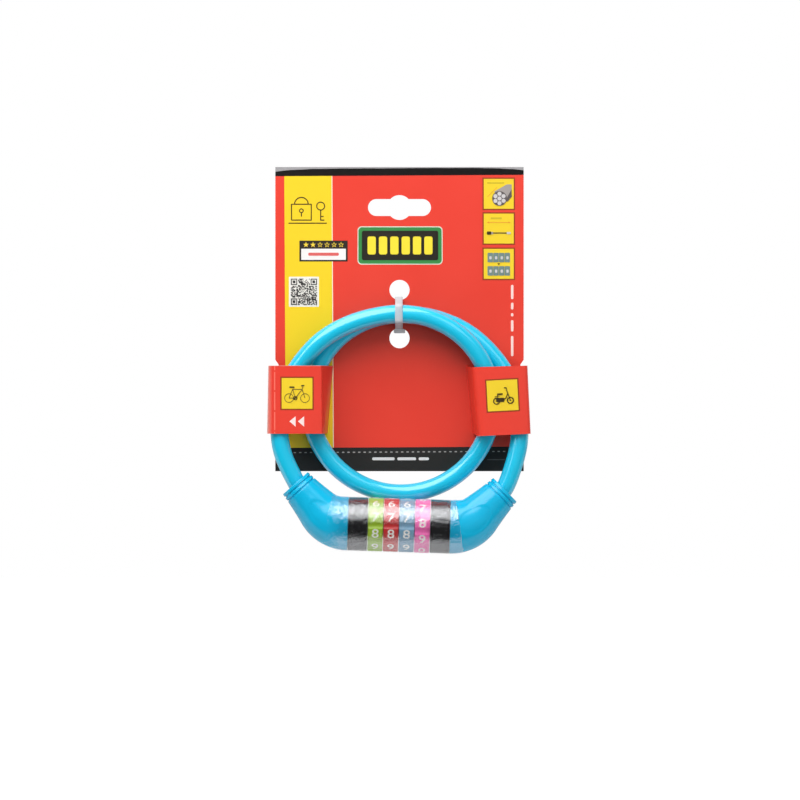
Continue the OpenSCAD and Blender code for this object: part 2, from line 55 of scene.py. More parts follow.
cameraSettings = {
    "pixelsPerMm": 1.8,
    "frame": 800,
    "slotPixel": (399.5, 207.5),      # where the middle of the hang slot shows
    "distance": 2400,
    "sensor": 36,
    "farthest": 50000,
}


def addObject(name, data):
    made = bpy.data.objects.new(name, data)
    bpy.context.scene.collection.objects.link(made)
    return made


def makeCamera(s):
    data = bpy.data.cameras.new("camera")
    data.sensor_width = s["sensor"]
    data.lens = s["sensor"] * s["pixelsPerMm"] * s["distance"] / s["frame"]
    data.clip_end = s["farthest"] * mm
    camera = addObject("camera", data)
    x, z = [(s["frame"] / 2 - p) / s["pixelsPerMm"] for p in s["slotPixel"]]
    camera.location = (x * mm, -s["distance"] * mm, -z * mm)
    camera.rotation_euler = (pi / 2, 0, 0)
    bpy.context.scene.camera = camera


makeCamera(cameraSettings)
bpy.context.scene.view_settings.view_transform = "Standard"
print("camera placed")


# A node's output that can be used in sums
class Wire:
    def __init__(self, nodes, out):
        self.nodes, self.out = nodes, out

    def maths(self, operation, *others):
        return self.nodes.node("Math", {"operation": operation}, dict(enumerate([self, *others])))

    def __add__(self, other): return self.maths("ADD", other)
    def __radd__(self, other): return self.maths("ADD", other)
    def __sub__(self, other): return self.maths("SUBTRACT", other)
    def __rsub__(self, other): return (self * -1) + other
    def __mul__(self, other): return self.maths("MULTIPLY", other)
    def __truediv__(self, other): return self.maths("DIVIDE", other)
    def __gt__(self, other): return self.maths("GREATER_THAN", other)
    def __lt__(self, other): return self.maths("LESS_THAN", other)
    def __abs__(self): return self.maths("ABSOLUTE")


class Nodes:
    def __init__(self, tree):
        self.tree = tree

    def feed(self, socket, value):
        if isinstance(value, Wire):
            self.tree.links.new(value.out, socket)
        else:
            socket.default_value = value

    def node(self, kind, settings=None, sockets=None, output=0):
        made = self.tree.nodes.new("ShaderNode" + kind)
        for key, value in (settings or {}).items():
            setattr(made, key, value)
        for key, value in (sockets or {}).items():
            self.feed(made.inputs[key], value)
        return Wire(self, made.outputs[output])


# A material whose patterns lie on the piece's own coordinates
class Paint(Nodes):
    def __init__(self, name, **fixed):
        self.material = bpy.data.materials.new(name)
        self.material.use_nodes = True
        super().__init__(self.material.node_tree)
        self.shader = self.tree.nodes["Principled BSDF"]
        self.point = self.node("TexCoord", output="Object")
        self.set(**fixed)

    def set(self, **values):
        for socket, value in values.items():
            self.feed(self.shader.inputs[socket.replace("_", " ")], value)

    def axes(self):      # x, y and z in millimetres
        return [self.node("SeparateXYZ", None, {0: self.point}, axis) / mm for axis in "XYZ"]

    def noise(self, size, detail=2.0, roughness=0.5, stretch=(1, 1, 1)):
        scale = tuple(v / (size * mm) for v in stretch)
        mapped = self.node("Mapping", None, {"Vector": self.point, "Scale": scale})
        return self.node("TexNoise", None, {
            "Vector": mapped, "Scale": 1.0, "Detail": detail, "Roughness": roughness})

    def mix(self, below, above, share):      # the colour above covers the one below at a share of 1
        return self.node("Mix", {"data_type": "RGBA"}, {0: share, 6: below, 7: above}, 2)

    def bump(self, height, depth):
        self.set(Normal=self.node("Bump", None, {
            "Height": height, "Distance": depth * mm, "Strength": 1.0}))


def linear(r, g, b):
    return tuple((v / 255 / 12.92 if v <= 10 else ((v / 255 + 0.055) / 1.055) ** 2.4)
                 for v in (r, g, b)) + (1.0,)


def shade(colour, share, lift=0.0):
    return tuple(min(1, v * share + lift) for v in colour[:3]) + (1,)


# Glossy moulded plastic: cloudy colour, uneven gloss and a fine skin
def mouldedPlastic(name, colour, rough=0.3, spread=0.06, coat=0.0, grain=0.01):
    paint = Paint(name, IOR=1.5, Coat_Weight=coat, Coat_Roughness=0.08)
    cloud, fine = paint.noise(18, 3), paint.noise(0.8)
    dark, pale = shade(colour, 1 - spread), shade(colour, 1 + spread, lift=0.002)
    paint.set(Base_Color=paint.mix(dark, pale, cloud),
              Roughness=rough + (cloud - 0.5) * 0.12 + (fine - 0.5) * 0.08)
    paint.bump(fine, grain)
    return paint.material


# Turned or cast metal with a cloudy polish and fine tool lines along X
def plainMetal(name, colour, rough, lines):
    paint = Paint(name, Metallic=1.0)
    cloud, marks = paint.noise(6, 4), paint.noise(0.3, 2, 0.6, (1, 0.05, 0.05))
    paint.set(Base_Color=paint.mix(shade(colour, 0.82), colour, cloud),
              Roughness=rough + (cloud - 0.5) * 0.2 + (marks - 0.5) * lines)
    paint.bump(marks, 0.01)
    return paint.material


# A piece from points in millimetres and the faces between them
def makePiece(name, shape, body, material, replaces, sharp):
    points, faces = shape
    mesh = bpy.data.meshes.new(name)
    mesh.from_pydata([tuple(float(v) * mm for v in p) for p in points], [], faces)
    return finishPiece(name, mesh, body, material, replaces, sharp)


# Closes the seams, turns the faces outwards and smooths every edge that folds less than sharp
def finishPiece(name, mesh, body, material, replaces, sharp):
    build = bmesh.new()
    build.from_mesh(mesh)
    bmesh.ops.remove_doubles(build, verts=build.verts, dist=1e-7)
    bmesh.ops.recalc_face_normals(build, faces=build.faces)
    for face in build.faces:
        face.smooth = True
    for edge in build.edges:
        folded = len(edge.link_faces) == 2 and edge.calc_face_angle(0) > radians(sharp)
        edge.smooth = not folded
    build.to_mesh(mesh)
    build.free()
    mesh.materials.clear()
    mesh.materials.append(material)
    piece = addObject(name, mesh)
    if replaces:
        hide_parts(*replaces)
    if body:
        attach(piece, body)
    return piece


# Quads between closed rings of points, each ring with as many points as there are columns
def gridFaces(rows, columns, closeRows=False):
    return [
        (i * columns + k, i * columns + (k + 1) % columns,
         (i + 1) % rows * columns + (k + 1) % columns, (i + 1) % rows * columns + k)
        for i in range(rows if closeRows else rows - 1)
        for k in range(columns)
    ]


def addLine(curve, points, closed=False):
    line = curve.splines.new("POLY")
    line.points.add(len(points) - 1)
    line.points.foreach_set("co", [float(v) for p in points for v in (*p, 1)])
    line.use_cyclic_u = closed


# The mesh of a piece with its modifiers applied; the piece itself is removed
def evaluated(piece):
    bpy.context.view_layer.update()
    depsgraph = bpy.context.evaluated_depsgraph_get()
    mesh = bpy.data.meshes.new_from_object(piece.evaluated_get(depsgraph))
    bpy.data.objects.remove(piece)
    return mesh


def smoothstep(low, high, value):
    t = np.clip((value - low) / (high - low), 0, 1)
    return t * t * (3 - 2 * t)


def between(a, b, share):
    return a * (1 - share) + b * share


barrel = {
    "x": -0.3, "z": -176.053, "tilt": radians(1.8), "radius": 14.7,
    "dialPitch": 8.6, "dialGap": 0.3,
    "face": 28.15,      # from the middle to an elbow
    "bend": radians(46.5), "bendR": 22, "leg": 20, "mouthR": 9.2, "boreR": 6.5,
}
cable = {
    "diameter": 10,
    "rearY": -5.2, "frontY": -15.8,
    "loopX": 0.8, "loopWide": 1.02, "loopZ": -109, "loopR": 49.6,
    "frontUntil": 60, "rearFrom": -70, "loopStep": 10,
    # angle about the loop's middle, distance outside the loop, share of the way to the front
    "leftLead": [(205, 21.3, 1), (197, 20.1, 0.98), (188, 18.2, 0.93), (179, 16, 0.86),
                 (170, 13.6, 0.8), (161, 11, 0.78), (152, 8.7, 0.84), (143, 6.8, 0.92),
                 (134, 4.8, 0.97), (125, 3, 1), (116, 1.6, 1), (107, 0.6, 1), (98, 0.2, 1)],
    "rightLead": [(80, 0.2, 0), (70, 1, 0), (61, 2, 0), (52, 3.4, 0), (43, 4.9, 0),
                  (34, 6.5, 0.02), (25, 8.4, 0.06), (16, 10.7, 0.14), (7, 12.8, 0.28),
                  (-1, 14.6, 0.45), (-9, 16.5, 0.67), (-17, 18.7, 0.84), (-25, 20.4, 0.96)],
    "depth": 16, "bendR": 26, "leftTurn": radians(12), "rightTurn": radians(24),
    "tailFrom": 8,              # the point of the right lead at which the tail begins
    "blend": (-121, -152),      # heights on the tail between the card and the bolt's end
    "step": 0.8, "sides": 40,
    "coreD": 5, "coreSides": 16,
    "coreDeep": 25.5,           # how far the steel strand goes in past an elbow's mouth
    "dark": linear(0, 192, 228), "pale": linear(0, 204, 240), "rough": 0.38, "coat": 0.95,
    "strand": linear(170, 172, 176),
}
barrelMiddle = np.array([barrel["x"], cable["frontY"], barrel["z"]])
elbowLength = barrel["bendR"] * barrel["bend"] + barrel["leg"]


# A direction in the barrel's frame, turned by its tilt
def tilted(p):
    t = barrel["tilt"]
    return np.array([p[0] * cos(t) + p[2] * sin(t), p[1], p[2] * cos(t) - p[0] * sin(t)])


# Place and heading of an elbow's middle line, at the distance s from its face
def elbowAt(s):
    r, a = barrel["bendR"], min(barrel["bend"], s / barrel["bendR"])
    rest = max(0.0, s - r * barrel["bend"])
    return r * sin(a) + rest * cos(a), r * (1 - cos(a)) + rest * sin(a), a


def mouthAt(side):
    x, z, _ = elbowAt(elbowLength)
    return barrelMiddle + tilted((side * (barrel["face"] + x), 0, z))


def legWay(side):
    return tilted((side * cos(barrel["bend"]), 0, sin(barrel["bend"])))


# Points of the cable from the left mouth to the right, and the index at which its tail begins
def cableRoute(s):
    def depthY(share):
        return s["rearY"] + (s["frontY"] - s["rearY"]) * share

    def polar(p):
        r, a = s["loopR"] + p[1], radians(p[0])
        return np.array([s["loopX"] + r * cos(a), depthY(p[2]), s["loopZ"] + r * sin(a)])

    def endRun(side, turn):      # straight out of the mouth, then the start of its bend
        mouth, way, lean, r = mouthAt(side), legWay(side), barrel["bend"], s["bendR"]
        straight = [mouth - d * way for d in (s["depth"], s["depth"] - s["diameter"] / 2)]
        start = mouth - (s["depth"] - s["diameter"]) * way
        return straight + [
            start + tilted((side * r * (sin(lean + a) - sin(lean)), 0,
                            -r * (cos(lean + a) - cos(lean))))
            for a in (0, turn / 2, turn)
        ]

    loop = []
    for a in range(90, -271, -s["loopStep"]):
        u = min(1, max(0, (s["frontUntil"] - a) / (s["frontUntil"] - s["rearFrom"])))
        share = 1 - (1 - cos(pi * u)) / 2
        r, b = s["loopR"], radians(a)
        loop.append(np.array([s["loopX"] + s["loopWide"] * r * cos(b), depthY(share),
                              s["loopZ"] + r * sin(b)]))
    left = endRun(-1, s["leftTurn"]) + [polar(p) for p in s["leftLead"]]
    right = [polar(p) for p in s["rightLead"]]
    split = len(left) + len(loop) + s["tailFrom"]
    return left + loop + right + endRun(1, s["rightTurn"])[::-1], split


# A smooth line through the points, with the index of each given point on it
def smoothPath(points, step):
    points = [np.array(p, float) for p in points]
    ends = [2 * points[0] - points[1], *points, 2 * points[-1] - points[-2]]
    line, places = [], []
    for p0, p1, p2, p3 in zip(ends, ends[1:], ends[2:], ends[3:]):
        reach = np.linalg.norm(p2 - p1)
        k1 = sqrt(np.linalg.norm(p1 - p0))
        k2 = k1 + sqrt(reach)
        k3 = k2 + sqrt(np.linalg.norm(p3 - p2))
        places.append(len(line))
        for t in np.linspace(k1, k2, max(2, round(reach / step)), endpoint=False):
            a1 = (k1 - t) / k1 * p0 + t / k1 * p1
            a2 = (k2 - t) / (k2 - k1) * p1 + (t - k1) / (k2 - k1) * p2
            a3 = (k3 - t) / (k3 - k2) * p2 + (t - k2) / (k3 - k2) * p3
            b1 = (k2 - t) / k2 * a1 + t / k2 * a2
            b2 = (k3 - t) / (k3 - k1) * a2 + (t - k1) / (k3 - k1) * a3
            line.append((k2 - t) / (k2 - k1) * b1 + (t - k1) / (k2 - k1) * b2)
    places.append(len(line))
    line.append(points[-1])
    return line, places


# Geometry nodes that sweep a round section along a line
def tubeTree():
    tree = bpy.data.node_groups.new("cableTube", "GeometryNodeTree")
    for name, way, kind in (("Line", "INPUT", "Geometry"), ("Radius", "INPUT", "Float"),
                            ("Sides", "INPUT", "Int"), ("Finish", "INPUT", "Material"),
                            ("Tube", "OUTPUT", "Geometry")):
        tree.interface.new_socket(name, in_out=way, socket_type="NodeSocket" + kind)
    add = tree.nodes.new
    start, end = add("NodeGroupInput"), add("NodeGroupOutput")
    circle, sweep, real, finish = [add("GeometryNode" + kind) for kind in (
        "CurvePrimitiveCircle", "CurveToMesh", "RealizeInstances", "SetMaterial")]
    sweep.inputs["Fill Caps"].default_value = True
    for a, output, b, socket in (
        (start, "Radius", circle, "Radius"), (start, "Sides", circle, "Resolution"),
        (start, "Line", sweep, "Curve"), (circle, 0, sweep, "Profile Curve"),
        (sweep, 0, real, 0), (real, 0, finish, "Geometry"),
        (start, "Finish", finish, "Material"), (finish, 0, end, 0),
    ):
        tree.links.new(a.outputs[output], b.inputs[socket])
    return tree


# Gives a tree's named inputs their values, by each socket's identifier
def setInputs(modifier, **values):
    for item in modifier.node_group.interface.items_tree:
        if item.in_out == "INPUT" and item.name in values:
            modifier[item.identifier] = values[item.name]


def sweepLine(name, line, diameter, sides, tree, material):
    curve = bpy.data.curves.new(name, "CURVE")
    curve.dimensions = "3D"
    addLine(curve, [[v * mm for v in p] for p in line])
    piece = addObject(name + "Line", curve)
    modifier = piece.modifiers.new("tube", "NODES")
    modifier.node_group = tree
    setInputs(modifier, Radius=diameter / 2 * mm, Sides=sides, Finish=material)
    return evaluated(piece)


# Soft glossy sheath with faint drawing marks
def cablePlastic(s):
    paint = Paint("cablePlastic", IOR=1.45, Coat_Roughness=0.11, Coat_IOR=1.75)
    cloud, fine = paint.noise(25, 3), paint.noise(0.7)
    paint.set(Base_Color=paint.mix(s["dark"], s["pale"], cloud),
              Roughness=s["rough"] + (cloud - 0.5) * 0.1 + (fine - 0.5) * 0.04,
              Coat_Weight=s["coat"] + (cloud - 0.5) * 0.1)
    paint.bump(fine, 0.005)
    return paint.material


sheathPlastic = cablePlastic(cable)
strandSteel = plainMetal("strandSteel", cable["strand"], rough=0.3, lines=0.2)
route, split = cableRoute(cable)
routeLine, routePlaces = smoothPath(route, cable["step"])
tailStart = routePlaces[split]
runLine, tailLine = routeLine[:tailStart + 1], routeLine[tailStart:]
coreEnds = [mouthAt(side) - cable["coreDeep"] * legWay(side) for side in (-1, 1)]
tubes = tubeTree()
for name, coreName, line, coreLine, body in (
    ("cable", "core_run", runLine, [coreEnds[0], *runLine], fixedBody),
    ("cable_tail", "core_tail", tailLine, [*tailLine, coreEnds[1]], None),
):
    mesh = sweepLine(coreName, coreLine, cable["coreD"], cable["coreSides"], tubes, strandSteel)
    core = finishPiece(coreName, mesh, body, strandSteel, ["cable_core"], sharp=60)
    mesh = sweepLine(name, line, cable["diameter"], cable["sides"], tubes, sheathPlastic)
    sheath = finishPiece(name, mesh, body, sheathPlastic, ["cable_sheath"], sharp=60)
    lineLength = sum(np.linalg.norm(b - a) for a, b in zip(line, line[1:])) * mm
    [v * mm for v in (mouthAt(-1) if body else line[0])]
    cable["diameter"] * mm
    [[v * mm for v in p] for p in line]
    if not body:      # the tail belongs to no body; its place is baked into its points
        above, below = cable["blend"]
        for piece in (sheath, core):
            above * mm
            below * mm
            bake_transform(piece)
    print(name, "length", round(lineLength, 3))


elbow = {
    "colour": linear(0, 178, 220),
    # share of the length, share of the way from the barrel's radius to the mouth's
    "taper": [(0, 0), (0.08, 0), (0.17, 0.03), (0.25, 0.09), (0.35, 0.21), (0.43, 0.34),
              (0.5, 0.46), (0.6, 0.59), (0.7, 0.71), (0.8, 0.82), (0.9, 0.92), (1, 1)],
    "smoothed": (-0.05, -0.025, 0, 0.025, 0.05), "exactFrom": 0.95,
    "grooves": [(1.8, 2.5), (4.2, 4.9)], "grooveDepth": 0.6, "grooveEdge": 0.16,
    "rimRound": 0.35, "faceRound": 0.3,
    "lip": [(0, 0.4), (0.1, 0.12), (0.4, 0)],      # depth in the mouth, and how much wider
    "boreDepth": 15, "throatR": 6.9, "recessR": 11.7, "recessDepth": 5.3,
    "sides": 120,
    "oval": {"at": 14.5, "half": 10.5, "angle": radians(31), "depth": 0.28, "edge": 0.1},
}


# Outer radius at the distance s from the elbow's face
def elbowRadius(s):
    places, shares = zip(*elbow["taper"])
    u = s / elbowLength
    near = (0,) if u > elbow["exactFrom"] else elbow["smoothed"]
    share = sum(np.interp(u + d, places, shares) for d in near) / len(near)
    return barrel["radius"] + (barrel["mouthR"] - barrel["radius"]) * share


# The same with the two grooves behind the rim and the rounded ends
def elbowSurface(s):
    r, back = elbowRadius(s), elbowLength - s
    e = elbow["grooveEdge"]
    for low, high in elbow["grooves"]:
        r -= elbow["grooveDepth"] * (smoothstep(low - e, low + e, back)
                                     - smoothstep(high - e, high + e, back))
    for rounding, away in ((elbow["rimRound"], back), (elbow["faceRound"], s)):
        if away < rounding:
            r -= rounding - sqrt(rounding ** 2 - (rounding - away) ** 2)
    return r


# Distances of the rings from the face, close together at the ends and at the grooves
def elbowStations():
    e = elbow["grooveEdge"]
    detail = [d for groove in elbow["grooves"] for edge in groove
              for d in np.linspace(edge - e, edge + e, 5)]
    back = [0, 0.05, 0.15, 0.35, *detail, *np.linspace(5.6, elbowLength - 0.4, 46)]
    front = [elbowLength - d for d in (0.3, 0.15, 0.05, 0)]
    return sorted({round(elbowLength - b, 4) for b in back + front})


# Depth of the shallow oval on the elbow's front, at the angle q from the front
def ovalDip(s, q):
    o = elbow["oval"]
    off = hypot((s - o["at"]) / o["half"], q / o["angle"])
    return o["depth"] * (1 - smoothstep(1 - o["edge"], 1, off))


def elbowMesh(side):
    e, sides, bore = elbow, elbow["sides"], barrel["boreR"]
    boreEnd = elbowLength - e["boreDepth"]
    outer = [(s, elbowSurface(s)) for s in elbowStations()]
    inner = [(elbowLength - deep, bore + wider) for deep, wider in e["lip"]]
    inner += [(s, bore) for s in np.linspace(elbowLength - 1, boreEnd, 12)]
    inner += [(s, e["throatR"]) for s in np.linspace(boreEnd - 0.5, e["recessDepth"] + 0.3, 16)]
    inner += [(e["recessDepth"], e["throatR"]), (e["recessDepth"], e["recessR"]),
              (0, e["recessR"])]
    points = []
    for row, (s, r) in enumerate(outer + inner):
        x, z, a = elbowAt(s)
        for k in range(sides):
            q = 2 * pi * k / sides
            front = abs((q - 1.5 * pi + pi) % (2 * pi) - pi)      # angle from the way to the user
            lowered = r - (ovalDip(s, front) if row < len(outer) else 0)
            out, up = lowered * sin(q), lowered * cos(q)
            local = (side * (barrel["face"] + x - up * sin(a)), out, z + up * cos(a))
            points.append(barrelMiddle + tilted(local))
    return points, gridFaces(len(outer) + len(inner), sides, closeRows=True)


elbowPlastic = mouldedPlastic("elbowPlastic", elbow["colour"], rough=0.22, spread=0.05, grain=0.004)
for side, name, body in ((-1, "left_elbow", fixedBody), (1, "right_elbow", movingBody)):
    makePiece(name + "_cover", elbowMesh(side), body, elbowPlastic, [name], sharp=50)
print("elbows made")


dials = {
    "slots": ["dial_lime", "dial_red", "dial_blue", "dial_pink"],
    "colours": [linear(166, 202, 50), linear(208, 46, 48), linear(128, 172, 200),
                linear(255, 116, 192)],
    "digits": 10,
    "around": 30,                     # points round the dial for each digit
    "grooveDepth": 0.9, "grooveR": 2.6, "grooveSoft": 0.012, "edge": 0.55,
    "boreR": 10, "lipR": 9.3, "lipAt": -1.05,
    "frontDigit": [7, 7, 7, 8], "turn": [0, 0, 0, 10],      # degrees that a dial stands off
    "digitHeight": 5.1, "digitWide": 1.2, "digitThick": 0.06, "digitBold": 0.06,
    "digitSize": 1.38,                # size of the font for a digit as high as 1
    "digitCut": 0.45, "digitColour": linear(246, 244, 238),
}


def dialX(i):
    return (i - (len(dials["slots"]) - 1) / 2) * barrel["dialPitch"]


# A wheel with rounded edges, a bore with a lip, and a thumb groove between its digits
def dialMesh(i):
    half = (barrel["dialPitch"] - barrel["dialGap"]) / 2
    e, top = dials["edge"], barrel["radius"]
    rounded = [(-half + e * (1 - cos(a)), top - e * (1 - sin(a)))
               for a in np.linspace(0, pi / 2, 5)]
    flat = [(x, top) for x in np.linspace(-half + e, half - e, 5)[1:-1]]
    profile = [(-half, dials["lipR"]), *rounded, *flat, *[(-x, r) for x, r in rounded[::-1]],
               (half, dials["boreR"]), (dials["lipAt"], dials["boreR"]),
               (dials["lipAt"], dials["lipR"])]
    shown = len(rounded) * 2 + len(flat)
    count, step = dials["digits"] * dials["around"], 2 * pi / dials["digits"]
    grooveAt = top + dials["grooveR"] - dials["grooveDepth"]
    points = []
    for row, (x, r) in enumerate(profile):
        for k in range(count):
            a = 2 * pi * k / count
            off = (a - radians(dials["turn"][i]) + step / 2) % step - step / 2
            across, outward = grooveAt * sin(off), r
            if 1 <= row <= shown and abs(across) < dials["grooveR"]:
                cut = grooveAt * cos(off) - sqrt(dials["grooveR"] ** 2 - across ** 2)
                soft = 0.5 * (r + cut - sqrt((r - cut) ** 2 + dials["grooveSoft"]))
                outward = min(r, soft)
            local = (dialX(i) + x, -outward * cos(a), -outward * sin(a))
            points.append(barrelMiddle + tilted(local))
    return points, gridFaces(len(profile), count, closeRows=True)


# A digit as a flat mesh, cut into small faces so that it can be bent round the dial
def digitShape(text):
    height = dials["digitHeight"]
    curve = bpy.data.curves.new("digit", "FONT")
    curve.body, curve.align_x, curve.align_y = text, "CENTER", "CENTER"
    curve.size, curve.extrude = height * dials["digitSize"], dials["digitThick"]
    curve.resolution_u, curve.offset = 6, dials["digitBold"]
    build = bmesh.new()
    build.from_mesh(evaluated(addObject("digit", curve)))
    bmesh.ops.remove_doubles(build, verts=build.verts, dist=1e-5)
    bmesh.ops.triangulate(build, faces=build.faces)
    for z in np.arange(-height / 2, height / 2, dials["digitCut"]):
        parts = build.verts[:] + build.edges[:] + build.faces[:]
        bmesh.ops.bisect_plane(build, geom=parts, plane_co=(0, z, 0), plane_no=(0, 1, 0))
    build.verts.ensure_lookup_table()
    build.faces.ensure_lookup_table()
    points = [tuple(v.co) for v in build.verts]
    middle = [(min(p[k] for p in points) + max(p[k] for p in points)) / 2 for k in (0, 1)]
    shape = ([((x - middle[0]) * dials["digitWide"], y - middle[1], z) for x, y, z in points],
             [tuple(v.index for v in f.verts) for f in build.faces])
    build.free()
    return shape


# All the digits of a dial, each bent round it at its own place
def digitRing(i, shapes):
    step, radius = 360 / dials["digits"], barrel["radius"]
    points, faces = [], []
    for d, (shape, shapeFaces) in enumerate(shapes):
        up = radians(step / 2 - step * (d - dials["frontDigit"][i]) - dials["turn"][i])
        faces += [tuple(v + len(points) for v in f) for f in shapeFaces]
        for x, y, z in shape:
            r, a = radius + z, up + y / radius
            points.append(barrelMiddle + tilted((dialX(i) + x, -r * cos(a), r * sin(a))))
    return points, faces


digitShapes = [digitShape(str(d)) for d in range(dials["digits"])]
digitPaint = mouldedPlastic("digitPaint", dials["digitColour"], rough=0.45, spread=0.03)
for i, (slot, colour) in enumerate(zip(dials["slots"], dials["colours"])):
    number = i + 1
    plastic = mouldedPlastic(f"dialPlastic{number}", colour, coat=0.2)
    makePiece(f"dial_{number}_wheel", dialMesh(i), f"wheel_{number}", plastic,
              [f"dial_{number}"], sharp=50)
    makePiece(f"dial_{number}_digits", digitRing(i, digitShapes), f"wheel_{number}", digitPaint,
              [], sharp=30)
print("dials made")


# The pieces that keep their own solid; only the collars' edges are rounded
solids = {
    "collars": ["left_collar", "right_collar"], "collarEdge": 0.35, "collarAngle": 38,
    "collarColour": linear(24, 24, 27),
    # a metal's name, colour, roughness and tool lines, and the nodes made of it
    "metals": [
        ("castMetal", linear(160, 162, 166), 0.42, 0.1, [
            "left_knuckle", "left_ferrule", "left_pin", "core_tube", "right_knuckle", "right_pin",
            "right_ferrule"]),
        ("platedSteel", linear(208, 210, 214), 0.16, 0.06, ["bolt"]),
        ("springSteel", linear(150, 138, 108), 0.3, 0.1, ["index_spring"]),
        ("darkSteel", linear(86, 86, 90), 0.35, 0.1, ["end_clip"]),
        ("brass", linear(200, 168, 96), 0.28, 0.08, [f"code_ring_{n}" for n in range(1, 5)]),
    ],
}


# A copy of a collar's solid with its edges rounded over
def softenedCollar(node, material):
    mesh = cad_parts[node].data.copy()
    build = bmesh.new()
    build.from_mesh(mesh)
    bmesh.ops.remove_doubles(build, verts=build.verts, dist=2e-7)
    bmesh.ops.dissolve_limit(build, angle_limit=radians(0.5), verts=build.verts, edges=build.edges)
    build.to_mesh(mesh)
    build.free()
    piece = addObject(node + "_ring", mesh)
    bevel = piece.modifiers.new("edge", "BEVEL")
    bevel.width, bevel.segments, bevel.limit_method = solids["collarEdge"] * mm, 3, "ANGLE"
    bevel.angle_limit = radians(solids["collarAngle"])
    bevel.use_clamp_overlap = True
    finishPiece(node + "_ring", evaluated(piece), fixedBody, material, [node], sharp=40)


collarPlastic = mouldedPlastic("collarPlastic", solids["collarColour"], rough=0.25, spread=0.2,
                               coat=0.3)
for node in solids["collars"]:
    softenedCollar(node, collarPlastic)
for name, colour, rough, lines, nodes in solids["metals"]:
    metal = plainMetal(name, colour, rough, lines)
    for node in nodes:
        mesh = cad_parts[node].data
        mesh.materials.clear()
        mesh.materials.append(metal)
print("solids finished")


card = {
    "width": 138, "top": 22.5, "foot": -146.5, "thick": 0.8,
    "notch": 1.8, "notchHigh": 3.4, "notchStep": 0.4,
    "slotW": 35, "slotH": 9.4, "slotHole": 13.8,
    "tieHoles": [-45.8, -72.6], "tieHole": 11.2,
    "tabTop": -88, "tabFoot": -125.5, "tabFront": -22.1, "tabRoot": 2.2, "tabLevels": 14,
    "outer": {-1: (72.3, 73.0), 1: (70.5, 72.3)},      # |x| of the outer wall, top and foot
    # inner wall: |x| at the front edge and at the card, at the top and at the foot
    "inner": {-1: [(43, 36.9), (42.5, 39.9)], 1: [(40.2, 37.2), (43.4, 40.8)]},
    "fold": {-1: (3.2, 0.9), 1: (2.2, 4.2)},   # radius of the outer and of the inner front fold
    "drop": {-1: (0, 0), 1: (0.9, 1.4)},       # how much lower the inner side hangs, top and foot
    "dropOver": (30, 10),                      # width and depth over which it comes to hang so
}
cardPrint = {
    "red": linear(236, 62, 44), "redShade": linear(227, 55, 38), "board": linear(205, 203, 198),
    "rough": 0.36, "coat": 0.25,
    "leanFrom": 15, "lean": 0.0055,            # the print sits a little crooked on the board
    "yellow": linear(244, 207, 26), "stripe": (-64, -37.8),
    "white": linear(246, 236, 206), "line": (-37.75, -37.3),
    "black": linear(41, 41, 40), "foot": -133.2,
    "topBlack": linear(13, 10, 10), "top": 17.75,
    "dash": linear(172, 170, 168), "dashes": (-136.1, -135.55), "dashLong": 1.49, "dashGap": 0.85,
    # painted highlight along the card's top edge: its colour, the height it starts from, and how
    # much wider it grows at the corners
    "edgeSheen": linear(160, 158, 160), "edgeSheenFrom": 21.8, "edgeSheenBow": 1.5,
    # the tabs: their perforation, drawn lighter as a painted highlight, a painted sheen on the
    # outer fold of the left one, and their pale cut edges
    "tabShade": linear(229, 57, 42), "perforationHighlight": linear(255, 116, 100),
    "creaseX": -68.7, "creaseHalf": 0.3, "creaseFrom": -3, "creaseLong": 5.5, "creaseBehind": -20,
    # painted sheen on the left tab's outer fold: its colour, where it starts, how wide it grows and
    # how far to the front it reaches
    "foldSheen": linear(226, 160, 148), "foldSheenFrom": -70.2, "foldSheenOver": 2.6, "foldSheenBehind": -17,
    "cut": linear(236, 190, 180),
}


# A paint with the fibres of varnished board, and its cloudy pattern
def boardPaint(name):
    paint = Paint(name, IOR=1.5)
    paint.bump(paint.noise(0.5, 3, 0.6), 0.012)
    return paint, paint.noise(40, 3)


# Red, with a yellow stripe edged in white and black bands and a painted highlight along the top
# edge; plain board behind
def printedCard(s):
    paint, cloud = boardPaint("printedCard")
    x, y, z = paint.axes()
    across, level = x + (z - s["leanFrom"]) * s["lean"], z - x * s["lean"]
    foot, behind = level < s["foot"], y > 0.06
    dash = foot * (level > s["dashes"][0]) * (level < s["dashes"][1]) \
        * (x.maths("PINGPONG", s["dashLong"]) > s["dashGap"])
    # A grey strip along the top edge, ragged and wider towards the corners, is a painted highlight
    # of the card's bent top edge
    bow = (abs(x) / card["width"] * 2).maths("POWER", 6.0) * s["edgeSheenBow"]
    edgeSheen = s["edgeSheenFrom"] - bow + (paint.noise(9) - 0.5) * 0.5
    colour = paint.mix(s["redShade"], s["red"], cloud)
    for above, where in (
        (s["yellow"], (across > s["stripe"][0]) * (across < s["stripe"][1])),
        (s["white"], (across > s["line"][0]) * (across < s["line"][1])),
        (s["black"], foot), (s["topBlack"], level > s["top"]),
        (s["dash"], dash), (s["edgeSheen"], level > edgeSheen), (s["board"], behind),
    ):
        colour = paint.mix(colour, above, where)
    paint.set(Base_Color=colour, Coat_Weight=(1 - behind) * s["coat"],
              Roughness=s["rough"] + (cloud - 0.5) * 0.1 + behind * 0.4)
    return paint.material
